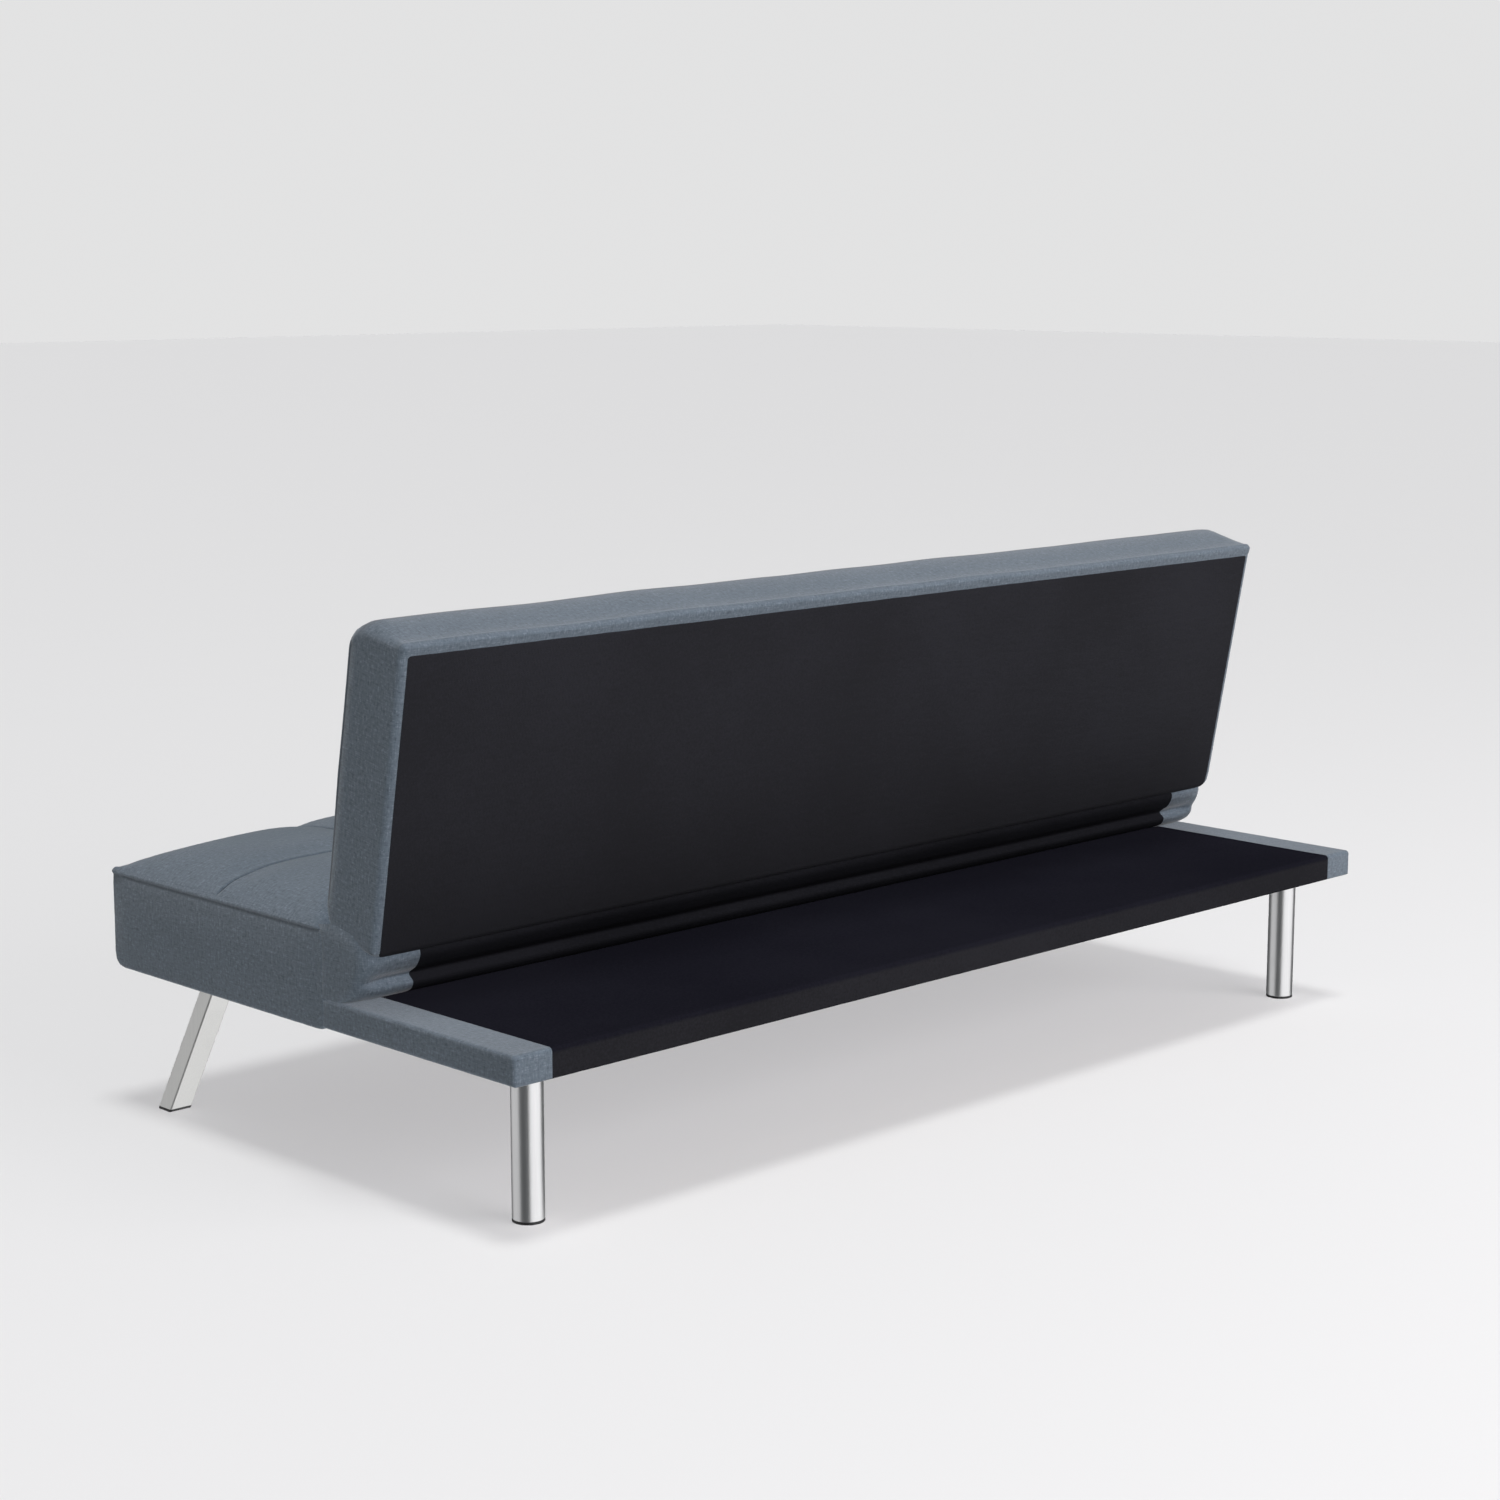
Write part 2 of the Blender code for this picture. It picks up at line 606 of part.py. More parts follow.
def back_arm(ending, sign, hinge):
    x_low, x_high = span(sign, *BACK_ARM_X)
    eye = arc((0.0, 0.0), 0.014, 180, 360, 14)
    outline = [(-0.0255, 0.018), (-0.0265, 0.026), (-0.0230, 0.032), (0.0140, 0.064), (0.0140, 0.180),
               (0.0400, 0.180), (0.0400, 0.062), (0.0150, 0.032)]
    outline += reversed(eye)
    arm = prism(f"hinge_back_arm_{ending}", outline, x_low, x_high, "hinge_steel", hinge)
    holes = (("eye", (0.0, 0.0, 0.0), PIVOT_RADIUS), ("pin", (0.0, *PAWL_PIVOT), PAWL_PIN_RADIUS))
    for label, centre, radius in holes:
        cutter = cylinder_cutter(f"arm_{label}_{ending}", centre, "X", radius + GAP,
                                 x_low - 0.005, x_high + 0.005, parent=hinge)
        combine(arm, cutter)
    low, high = 0.7765, PAWL_X[1] + 0.0018
    head = low - 0.0012
    neck = low + 0.0010
    radius = PAWL_PIN_RADIUS
    profile = [(0.0, high), (radius, high), (radius, neck),
               (PAWL_PIN_HEAD, neck), (PAWL_PIN_HEAD, head), (0.0, head)]
    place = (0.0, *PAWL_PIVOT)
    pin = turned(f"pawl_pin_{ending}", profile, place, "zinc", axis="X", parent=hinge, steps=16)
    if sign < 0:
        pin.rotation_euler = (0.0, math.radians(-90), 0.0)


def pawl(ending, sign, hinge):
    """Lever whose nose drops into the rim; its empty stands on its own axis."""
    axis = new_empty(f"pawl_axis_{ending}", (0.0, *PAWL_PIVOT), parent=hinge)
    x_low, x_high = span(sign, *PAWL_X)
    reach = -PAWL_PIVOT[0]
    drop = RIM + PAWL_LIFT - PAWL_PIVOT[1]
    heel = arc((0.0, 0.0), 0.006, 70, 290, 12)
    nose = [(reach - 0.0045, drop + 0.0022), (reach - 0.0012, drop), (reach + 0.0012, drop),
            (reach + 0.0024, drop + 0.0055), (reach - 0.002, drop + 0.0100)]
    lever = prism(f"pawl_{ending}", list(reversed(heel + nose)), x_low, x_high, "zinc", axis)
    hole = cylinder_cutter(f"pawl_{ending}", (0.0, 0.0, 0.0), "X", PAWL_PIN_RADIUS + 0.0003,
                           x_low - 0.005, x_high + 0.005, parent=axis, sides=16)
    combine(lever, hole)


# Backrest, in the frame of the recline axis

def back_frame(hinge):
    low_y, high_y = 0.0120, 0.0425
    stile_x = (BACK_ARM_X[1] + GAP, BACK_HALF_WIDTH - CLOTH - 0.0013)
    bottom, middle, top = 0.066, 0.3845, BACK_TOP - 0.0025

    def stiles(ending, sign):
        x_low, x_high = span(sign, *stile_x)
        box(f"back_stile_{ending}", (x_low, low_y, bottom), (x_high, high_y, middle), "wood", hinge)
        x_low, x_high = span(sign, BRACE_X - BRACE_HALF, BRACE_X + BRACE_HALF)
        box(f"back_middle_stile_{ending}", (x_low, low_y, bottom + 0.040 + GAP), (x_high, high_y, middle),
            "wood", hinge)

    both_sides(stiles)
    box("back_top_rail", (-stile_x[1], low_y, middle + GAP), (stile_x[1], high_y, top), "wood", hinge)
    reach = BACK_ARM_X[0] - GAP
    box("back_bottom_rail", (-reach, low_y, bottom), (reach, high_y, bottom + 0.040), "wood", hinge)


def back_outline(inset):
    """Front of the backrest cushion from its top edge down and under, as (y, z)."""
    radius = 0.025
    top = BACK_TOP - inset
    front = BACK_FRONT + inset
    corner = arc((BACK_FRONT + radius, BACK_TOP - radius), radius - inset, 90, 180, 5)
    under = [(front, 0.090), (front + 0.0015, 0.070), (front + 0.0080, 0.051),
             (front + 0.0170, 0.039 + inset), (front + 0.0320, 0.0275 + inset), (-0.010, 0.0225 + inset)]
    return top, corner + under


def back_cushion(hinge):
    inset = CLOTH + 0.0008
    top, front = back_outline(inset)
    reach = BACK_HALF_WIDTH - inset
    foam_rear = 0.0117
    outline = [(foam_rear, top)] + front + [(foam_rear, 0.0245)]
    foam = prism("back_foam", outline, -reach, reach, "foam", hinge)
    pockets = []
    for ending, sign in (("left", 1), ("right", -1)):
        x_low, x_high = span(sign, 0.7690, 0.7925)
        pocket = box_bmesh((x_low, -0.0320, 0.0), (x_high, 0.03, 0.080))
        pockets.append(as_cutter(f"hinge_pocket_{ending}", mesh_from(pocket), hinge))
        combine(foam, pockets[-1])
    top, front = back_outline(0.0)
    hem = 0.012
    rear = BACK_REAR
    outline = [(rear, top)] + front + [(rear, BACK_BOTTOM)]
    bm = prism_bmesh(outline, -BACK_HALF_WIDTH, BACK_HALF_WIDTH)
    slice_at(bm, 2, (top - hem,))
    bmesh.ops.recalc_face_normals(bm, faces=bm.faces[:])

    def open_part(centre, normal):
        behind = normal.y > 0.9 and centre.z < top - hem
        below = normal.z < -0.7 and centre.y > -0.010
        return behind or below

    drop_faces(bm, open_part)
    mesh = bpy.data.meshes.new("shape")
    bm.to_mesh(mesh)
    bm.free()
    cover = new_object("back_cover", mesh, "grey_cloth", hinge)
    add_solidify(cover, CLOTH)
    for pocket in pockets:
        combine(cover, pocket)
    edge = BACK_HALF_WIDTH - CLOTH - 0.0023
    box("back_panel", (-edge, BACK_REAR - 0.0018, BACK_BOTTOM + 0.002),
        (edge, BACK_REAR - 0.0002, top - hem - GAP), "black_cloth", hinge, edge=0)


# Cloth that joins the backrest to the base

def gusset_path():
    """Two soft rolls from under the backrest's lower rear edge down to the platform, as (y, z)."""
    return [(0.1330, 0.2965), (0.1405, 0.2945), (0.1405, 0.2860), (0.1320, 0.2725), (0.1215, 0.2615),
            (0.1235, 0.2530), (0.1170, 0.2430), (0.1020, 0.2345)]


def hinge_cloth():
    path = gusset_path()
    inner = GUSSET_SEAM - GAP
    strip("gusset_back", path, -inner, inner, CLOTH, "black_cloth")

    def end(ending, sign):
        x_low, x_high = span(sign, GUSSET_SEAM, HALF_WIDTH - 0.001)
        piece = strip(f"gusset_end_{ending}", path, x_low, x_high, CLOTH, "grey_cloth")
        wall_low, wall_high = span(sign, HALF_WIDTH - 0.001 - CLOTH, HALF_WIDTH - 0.001)
        front = SEAT_REAR + 0.0015
        upper = [(0.0900, 0.3080), (0.0700, 0.3230), (front, 0.3210), (front, PLATFORM_TOP + 0.001)]
        wall = as_cutter(f"gusset_side_{ending}", mesh_from(prism_bmesh(
            list(reversed(path)) + upper, wall_low, wall_high)))
        combine(piece, wall, "UNION")

    both_sides(end)
    crease = [(0.0740, 0.2995), (0.0700, 0.2935), (0.0640, 0.2900), (0.0592, 0.2960), (0.0575, 0.3180)]
    reach = HALF_WIDTH - 0.006
    strip("crease_cloth", crease, -reach, reach, SHEET, "grey_cloth")


def main():
    clear_scene()
    base_frame()
    seat()
    platform_cloth()
    hinge = new_empty("recline_axis", PIVOT, turn_x=-LEAN)

    def ends(ending, sign):
        front_leg(ending, sign)
        rear_leg(ending, sign)
        base_plate(ending, sign)
        pivot_hardware(ending, sign)
        back_arm(ending, sign, hinge)
        pawl(ending, sign, hinge)

    both_sides(ends)
    back_frame(hinge)
    back_cushion(hinge)
    hinge_cloth()


main()
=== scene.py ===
import json
import math

import bmesh
import bpy
import numpy as np
from mathutils import Matrix, Vector, kdtree, noise


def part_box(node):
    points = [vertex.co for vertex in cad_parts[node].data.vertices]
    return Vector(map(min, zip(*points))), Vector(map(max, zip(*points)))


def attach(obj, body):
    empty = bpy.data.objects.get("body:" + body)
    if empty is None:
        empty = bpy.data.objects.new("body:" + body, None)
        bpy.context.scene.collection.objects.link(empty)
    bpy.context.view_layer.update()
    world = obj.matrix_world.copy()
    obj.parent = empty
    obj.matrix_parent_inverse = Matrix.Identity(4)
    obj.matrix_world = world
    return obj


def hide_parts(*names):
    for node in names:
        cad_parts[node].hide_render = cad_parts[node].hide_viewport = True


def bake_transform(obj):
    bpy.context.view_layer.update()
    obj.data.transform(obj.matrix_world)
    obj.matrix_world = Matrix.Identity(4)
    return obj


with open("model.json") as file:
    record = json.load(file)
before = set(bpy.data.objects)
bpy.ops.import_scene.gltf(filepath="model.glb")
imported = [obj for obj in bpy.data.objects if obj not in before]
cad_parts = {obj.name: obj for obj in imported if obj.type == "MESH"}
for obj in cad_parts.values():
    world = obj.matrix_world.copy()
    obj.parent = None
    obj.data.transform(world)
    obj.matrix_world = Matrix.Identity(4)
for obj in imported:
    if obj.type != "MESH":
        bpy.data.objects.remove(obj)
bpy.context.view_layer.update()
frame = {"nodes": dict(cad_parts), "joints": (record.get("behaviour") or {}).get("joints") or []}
print("frame loaded:", len(frame["nodes"]), "parts")

recline = next(joint for joint in frame["joints"] if joint["name"] == "recline")
pivot = Vector(recline["pos_m"])
lean = math.radians(10.3)  # backrest from upright, at rest
backFrame = Matrix.Translation(pivot) @ Matrix.Rotation(-lean, 4, "X")

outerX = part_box("platform_end_left")[1].x
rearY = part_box("platform_end_left")[1].y
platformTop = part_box("platform_cover")[1].z
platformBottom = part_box("platform_cover")[0].z


# Camera, lights and floor

studio = dict(
    eye=(2.9143, 2.9316, 1.1460), yaw=44.371, pitch=9.727, lens=69.88,
    backdrop=(0.765, 0.765, 0.767), sky=0.11, floorTone=(0.82, 0.82656, 0.82), floorRough=0.75, floorReach=60,
    topSun=0.84, topTilt=4, topSoftness=14, fillSun=1.74, fillTilt=25, frontSun=0.46, frontTilt=-65,
    rearPower=92, rearPlace=(-1.1, 4.6, 1.9), rearTarget=(0, 0.3, 0.3), rearSize=(4.5, 2.4),
    skyTint=(0.95, 0.99, 1.0), fillTint=(1.0, 0.966, 0.995), frontTint=(0.93, 0.985, 1.0),
    cards=dict(bright_card=dict(place=(-0.87, 3.49, -1.95), target=(0, 0, -1.95), size=(7.4, 7.1), glow=1.08),
               soft_card=dict(place=(2.76, -2.31, -1.95), target=(0, 0, -1.95), size=(5.4, 7.1), glow=0.64),
               low_card=dict(place=(-2.3, 0.5, -3.0), target=(-2.3, 0.5, 0), size=(6.0, 6.0), glow=1.15)),
)


def makeCamera():
    yaw, pitch = math.radians(studio["yaw"]), math.radians(studio["pitch"])
    ahead = Vector((-math.sin(yaw) * math.cos(pitch), -math.cos(yaw) * math.cos(pitch), -math.sin(pitch)))
    data = bpy.data.cameras.new("camera")
    data.lens = studio["lens"]
    camera = bpy.data.objects.new("camera", data)
    camera.location = studio["eye"]
    camera.rotation_euler = ahead.to_track_quat("-Z", "Y").to_euler()
    bpy.context.scene.collection.objects.link(camera)
    bpy.context.scene.camera = camera
    bpy.context.scene.view_settings.view_transform = "Standard"


def addLight(name, kind, place, target, power, **settings):
    data = bpy.data.lights.new(name, kind)
    data.energy = power
    for key, value in settings.items():
        setattr(data, key, value)
    lamp = bpy.data.objects.new(name, data)
    lamp.location = place
    lamp.rotation_euler = (Vector(target) - Vector(place)).to_track_quat("-Z", "Y").to_euler()
    bpy.context.scene.collection.objects.link(lamp)
    return lamp


def makeLights():
    world = bpy.data.worlds.new("studio")
    bpy.context.scene.world = world
    world.use_nodes = True
    nodes, links = world.node_tree.nodes, world.node_tree.links
    nodes.clear()
    seen = nodes.new("ShaderNodeBackground")
    seen.inputs["Color"].default_value = (*studio["backdrop"], 1)
    given = nodes.new("ShaderNodeBackground")
    given.inputs["Color"].default_value = (*studio["skyTint"], 1)
    given.inputs["Strength"].default_value = studio["sky"]
    rays = nodes.new("ShaderNodeLightPath")
    either = nodes.new("ShaderNodeMixShader")
    output = nodes.new("ShaderNodeOutputWorld")
    links.new(rays.outputs["Is Camera Ray"], either.inputs[0])
    links.new(given.outputs[0], either.inputs[1])
    links.new(seen.outputs[0], either.inputs[2])
    links.new(either.outputs[0], output.inputs[0])

    def leaning(tilt):
        return Vector((0, math.sin(math.radians(tilt)), math.cos(math.radians(tilt)))) * 5

    addLight("top_light", "SUN", leaning(studio["topTilt"]), (0, 0, 0), studio["topSun"],
             angle=math.radians(studio["topSoftness"]))
    for name in ("fill", "front"):
        addLight(f"{name}_light", "SUN", leaning(studio[f"{name}Tilt"]), (0, 0, 0), studio[f"{name}Sun"],
                 color=studio[f"{name}Tint"], use_shadow=False)
    width, height = studio["rearSize"]
    addLight("rear_light", "AREA", studio["rearPlace"], studio["rearTarget"], studio["rearPower"],
             shape="RECTANGLE", size=width, size_y=height, color=studio["fillTint"])


def makeFloor():
    bpy.ops.object.select_all(action="DESELECT")
    bpy.ops.mesh.primitive_grid_add(x_subdivisions=8, y_subdivisions=8, size=studio["floorReach"])
    floor = bpy.context.object
    floor.name = "floor"
    paint = bpy.data.materials.new("floor")
    paint.use_nodes = True
    shader = paint.node_tree.nodes["Principled BSDF"]
    shader.inputs["Base Color"].default_value = (*studio["floorTone"], 1)
    shader.inputs["Roughness"].default_value = studio["floorRough"]
    shader.inputs["Specular IOR Level"].default_value = 0.2
    floor.data.materials.append(paint)
    floor.visible_glossy = False


def makeCard(name, card):  # a panel that only the metal reflects
    place = Vector(card["place"])
    turn = (Vector(card["target"]) - place).to_track_quat("-Z", "Y").to_euler()
    bpy.ops.object.select_all(action="DESELECT")
    bpy.ops.mesh.primitive_plane_add(size=1, location=place, rotation=turn)
    piece = bpy.context.object
    piece.name = name
    piece.scale = (*card["size"], 1)
    glow = bpy.data.materials.new(name)
    glow.use_nodes = True
    shader = glow.node_tree.nodes["Principled BSDF"]
    shader.inputs["Base Color"].default_value = (0, 0, 0, 1)
    shader.inputs["Emission Color"].default_value = (1, 1, 1, 1)
    shader.inputs["Emission Strength"].default_value = card["glow"]
    piece.data.materials.append(glow)
    piece.visible_camera = piece.visible_diffuse = piece.visible_shadow = False
    piece.visible_transmission = piece.visible_volume_scatter = False


makeCamera()
makeLights()
makeFloor()
for cardName, cardSettings in studio["cards"].items():
    makeCard(cardName, cardSettings)
print("camera, lights and floor")


# Finishes

class Wire:  # a socket that adds its own Math nodes
    def __init__(self, finish, socket):
        self.finish = finish
        self.socket = socket

    def maths(self, operation, *values):
        return self.finish.node("ShaderNodeMath", dict(operation=operation), dict(enumerate(values)))

    def __add__(self, other):
        return self.maths("ADD", self, other)

    def __sub__(self, other):
        return self.maths("SUBTRACT", self, other)

    def __mul__(self, other):
        return self.maths("MULTIPLY", self, other)

    __radd__ = __add__


class Finish:
    def __init__(self, name, **fixed):
        self.material = bpy.data.materials.new(name)
        self.material.use_nodes = True
        self.tree = self.material.node_tree
        self.shader = self.tree.nodes["Principled BSDF"]
        for key, value in fixed.items():
            self.put(self.shader.inputs[key.replace("_", " ")], value)

    def put(self, socket, value):
        if isinstance(value, Wire):
            self.tree.links.new(value.socket, socket)
        elif isinstance(value, tuple) and socket.type == "RGBA":
            socket.default_value = (*value[:3], 1)
        else:
            socket.default_value = value

    def node(self, kind, settings=None, sockets=None, output=0):
        made = self.tree.nodes.new(kind)
        for key, value in (settings or {}).items():
            setattr(made, key, value)
        for key, value in (sockets or {}).items():
            self.put(made.inputs[key], value)
        return Wire(self, made.outputs[output])

    def set(self, **links):
        for key, value in links.items():
            self.put(self.shader.inputs[key.replace("_", " ")], value)
        return self.material

    def mix(self, share, first, second):
        return self.node("ShaderNodeMix", dict(data_type="RGBA"), {0: share, 6: first, 7: second}, 2)

    def stretched(self, source, scale):
        return self.node("ShaderNodeMapping", {}, {"Vector": source, "Scale": scale})

    def clouds(self, vector, scale, detail=2.0, rough=0.5):
        return self.node("ShaderNodeTexNoise", {}, {"Vector": vector, "Scale": scale, "Detail": detail,
                                                    "Roughness": rough})

    def cells(self, vector, scale, randomness=1.0, output="Distance"):
        return self.node("ShaderNodeTexVoronoi", dict(feature="F1"),
                         {"Vector": vector, "Scale": scale, "Randomness": randomness}, output)

    def between(self, value, low, high):  # 0 at low, 1 at high
        return self.node("ShaderNodeMapRange", dict(interpolation_type="SMOOTHSTEP"),
                         {"Value": value, "From Min": low, "From Max": high})

    def bump(self, height, distance, strength=1.0):
        return self.node("ShaderNodeBump", {}, {"Height": height, "Distance": distance, "Strength": strength})

    def uv(self):
        return self.node("ShaderNodeUVMap", dict(uv_map="weave"))

    def objectPlace(self):
        return self.node("ShaderNodeTexCoord", {}, {}, "Object")


greyCloth = dict(
    dark=(0.068, 0.090, 0.113), middle=(0.121, 0.155, 0.189), light=(0.214, 0.258, 0.306),
    toMiddle=(0.36, 0.50), toLight=(0.50, 0.66), broadShare=0.16,
    # painted shade: the tone and share that darken sewn channels, welt grooves and folds
    seamShadeTone=(0.030, 0.037, 0.046), seamShadeShare=0.92,
    threadsPerMetre=760, threadLength=15, mottle=210, threadHeight=0.0009, roughness=0.93, sheen=0.42,
)


def makeGreyCloth():
    cloth = greyCloth
    finish = Finish("grey_weave", Sheen_Weight=cloth["sheen"], Sheen_Roughness=0.45, Specular_IOR_Level=0.25)
    uv = finish.uv()
    fine, coarse = cloth["threadsPerMetre"], cloth["threadsPerMetre"] / cloth["threadLength"]
    warp = finish.clouds(finish.stretched(uv, (fine, coarse, 1)), 1.0, 2.0, 0.6)
    weft = finish.clouds(finish.stretched(uv, (coarse, fine, 1)), 1.0, 2.0, 0.6)
    flecks = finish.clouds(uv, cloth["mottle"], 3.0, 0.65)
    broad = finish.clouds(finish.objectPlace(), 9.0, 3.0, 0.5)
    threads = warp * 0.5 + weft * 0.5
    tone = threads * 0.55 + flecks * 0.45
    shade = finish.mix(finish.between(tone, *cloth["toMiddle"]), cloth["dark"], cloth["middle"])
    shade = finish.mix(finish.between(tone, *cloth["toLight"]), shade, cloth["light"])
    shade = finish.mix(finish.between(broad, 0.25, 0.75) * cloth["broadShare"], shade, cloth["dark"])
    # painted shade: the seam attribute darkens the cloth in sewn channels, welt grooves and folds
    seam = finish.node("ShaderNodeAttribute", dict(attribute_name="seam"), {}, "Fac")
    shade = finish.mix(seam * cloth["seamShadeShare"], shade, cloth["seamShadeTone"])
    rough = tone * 0.12 + cloth["roughness"] - 0.06
    height = threads + flecks * 0.4
    return finish.set(Base_Color=shade, Roughness=rough,
                      Normal=finish.bump(height, cloth["threadHeight"], 0.55))


blackCloth = dict(
    tones=dict(back=((0.0125, 0.0128, 0.0164), (0.0185, 0.0190, 0.0246)),
               gusset=((0.0070, 0.0072, 0.0092), (0.0115, 0.0118, 0.0150)),
               platform=((0.0087, 0.0087, 0.0132), (0.0123, 0.0123, 0.0177))),
    # painted light: paler tones for the platform's rear face
    platformRearPaintedLight=((0.0170, 0.0170, 0.0195), (0.0225, 0.0225, 0.0262)), rearEdge=(0.009, 0.003),
    # painted shade: a darker tone for the lower back panel
    backLowShade=(0.004, 0.004, 0.0055), backShadeFrom=(0.24, 0.48), backShadeShare=0.55,
    gloss=dict(back=0.20, gusset=0.06, platform=0.0), dimples=420, fibres=300, roughness=0.88,
)


def makeBlackCloth(use):
    cloth = blackCloth
    low, high = cloth["tones"][use]
    finish = Finish(f"black_cloth_{use}", Specular_IOR_Level=cloth["gloss"][use])
    place = finish.objectPlace()
    dimples = finish.cells(place, cloth["dimples"], 0.15)
    fibres = finish.clouds(place, cloth["fibres"], 4.0, 0.7)
    broad = finish.clouds(place, 3.2, 3.0, 0.55)
    share = finish.between(fibres * 0.6 + broad * 0.4, 0.38, 0.62)
    height = finish.between(dimples, 0.1, 0.5) + fibres * 0.6
    shade = finish.mix(share, low, high)
    up = finish.node("ShaderNodeSeparateXYZ", {}, {"Vector": place}, 2)
    if use == "platform":  # painted light: paler below its top edge, over the rear face
        below, above = (platformTop - drop for drop in cloth["rearEdge"])
        shade = finish.mix(finish.between(up, below, above), finish.mix(share, *cloth["platformRearPaintedLight"]), shade)
    if use == "back":  # painted shade, darker towards the bottom
        unshaded = finish.between(up, *cloth["backShadeFrom"]) * cloth["backShadeShare"] + (1 - cloth["backShadeShare"])
        shade = finish.mix(unshaded, cloth["backLowShade"], shade)
    return finish.set(Base_Color=shade, Roughness=fibres * 0.16 + cloth["roughness"] - 0.08,
                      Normal=finish.bump(height, 0.0004, 0.5))


def makeBrushedMetal(name, tone, roughness, grain):  # brushed along z
    finish = Finish(name, Metallic=1.0)
    place = finish.objectPlace()
    streaks = finish.clouds(finish.stretched(place, (grain, grain, grain / 60)), 1.0, 3.0, 0.6)
    smudges = finish.clouds(place, 22.0, 3.0, 0.5)
    worn = finish.mix(finish.between(streaks, 0.3, 0.7), tuple(0.93 * c for c in tone), tone)
    rough = roughness + (streaks - 0.5) * 0.10 + finish.between(smudges, 0.55, 0.8) * 0.05
    return finish.set(Base_Color=worn, Roughness=rough, Normal=finish.bump(streaks, 0.00006, 0.25))


def makeZinc(name, tone, roughness):
    finish = Finish(name, Metallic=1.0)
    place = finish.objectPlace()
    spangle = finish.cells(place, 260.0)
    dull = finish.clouds(place, 120.0, 4.0, 0.6)
    share = finish.between(dull * 0.7 + spangle * 0.5, 0.3, 0.7)
    return finish.set(Base_Color=finish.mix(share, tuple(0.72 * c for c in tone), tone),
                      Roughness=share * 0.18 + roughness, Normal=finish.bump(dull, 0.0001, 0.4))


pine = dict(light=(0.66, 0.50, 0.30), dark=(0.44, 0.29, 0.15), ringsPerMetre=26.0, poresPerMetre=900.0)


def makePine(along):
    finish = Finish(f"pine_along_{along}", Specular_IOR_Level=0.3)
    place = finish.objectPlace()
    scale = tuple(0.06 if axis == along else 1.0 for axis in "xyz")
    grainPlace = finish.stretched(place, scale)
    rings = finish.node("ShaderNodeTexWave", dict(wave_type="RINGS", rings_direction="Y"),
                        {"Vector": grainPlace, "Scale": pine["ringsPerMetre"], "Distortion": 5.0,
                         "Detail": 3.0, "Detail Scale": 1.6})
    poreScale = tuple(40.0 if axis == along else pine["poresPerMetre"] for axis in "xyz")
    pores = finish.clouds(finish.stretched(place, poreScale), 1.0)
    share = finish.between(rings * 0.7 + pores * 0.5, 0.25, 0.95)
    return finish.set(Base_Color=finish.mix(share, pine["light"], pine["dark"]), Roughness=pores * 0.2 + 0.6,
                      Normal=finish.bump(pores, 0.0003, 0.4))


def makeChipboard():
    finish = Finish("chipboard", Specular_IOR_Level=0.3)
    place = finish.objectPlace()
    chips = finish.cells(place, 190.0, output="Color")
    tone = finish.clouds(place, 160.0, 4.0, 0.7)
    shade = finish.mix(finish.between(tone, 0.3, 0.7), (0.50, 0.35, 0.20), (0.27, 0.18, 0.10))
    return finish.set(Base_Color=finish.mix(0.12, shade, chips), Roughness=tone * 0.2 + 0.65,
                      Normal=finish.bump(tone, 0.0004, 0.5))


def makePlastic():
    finish = Finish("black_plastic", Specular_IOR_Level=0.45)
    grain = finish.clouds(finish.objectPlace(), 900.0, 2.0, 0.5)
    return finish.set(Base_Color=finish.mix(grain, (0.012, 0.012, 0.013), (0.024, 0.024, 0.026)),
                      Roughness=grain * 0.2 + 0.42, Normal=finish.bump(grain, 0.00008, 0.5))


finishes = dict(
    grey=makeGreyCloth(), backBlack=makeBlackCloth("back"), gussetBlack=makeBlackCloth("gusset"),
    platformBlack=makeBlackCloth("platform"),
    chrome=makeBrushedMetal("satin_chrome", (0.80, 0.80, 0.81), 0.33, 900.0),
    satin=makeBrushedMetal("satin_nickel", (0.70, 0.70, 0.69), 0.42, 700.0),
    hinge=makeBrushedMetal("hinge_steel", (0.10, 0.10, 0.11), 0.45, 500.0),
    zinc=makeZinc("zinc_plate", (0.66, 0.67, 0.66), 0.28),
    pineAlongX=makePine("x"), pineAlongY=makePine("y"), pineAlongZ=makePine("z"),
    chipboard=makeChipboard(), plastic=makePlastic(),
)

carried = dict(  # parts that stay as they are, by the start of their names
    pineAlongX=("frame_front_rail", "frame_rear_rail", "frame_platform_rail", "frame_hinge_rail",
                "back_top_rail", "back_bottom_rail"),
    pineAlongY=("frame_side_rail", "frame_platform_brace", "frame_seat_brace", "seat_slat"),
    pineAlongZ=("back_stile", "back_middle_stile"),
    chipboard=("platform_board",),
    hinge=("hinge_",),
    zinc=("front_leg_bolt", "rear_leg_bolt", "pivot_", "pawl"),
)
for finishName, starts in carried.items():
    for nodeName, part in frame["nodes"].items():
        if nodeName.startswith(starts):
            part.data.materials.clear()
            part.data.materials.append(finishes[finishName])
print("finishes")


# Tools of the bench

def alone(piece):
    bpy.ops.object.select_all(action="DESELECT")
    piece.select_set(True)
    bpy.context.view_layer.objects.active = piece


def settled(piece, name):  # origin back to zero, place in the mesh
    alone(piece)
    bpy.ops.object.transform_apply(location=True, rotation=True, scale=True)
    piece.name = name
    piece.data.name = name
    return piece


def newBox(name, low, high):
    bpy.ops.object.select_all(action="DESELECT")
    low, high = Vector(low), Vector(high)
    bpy.ops.mesh.primitive_cube_add(size=1, location=(low + high) / 2, scale=high - low)
    return settled(bpy.context.object, name)


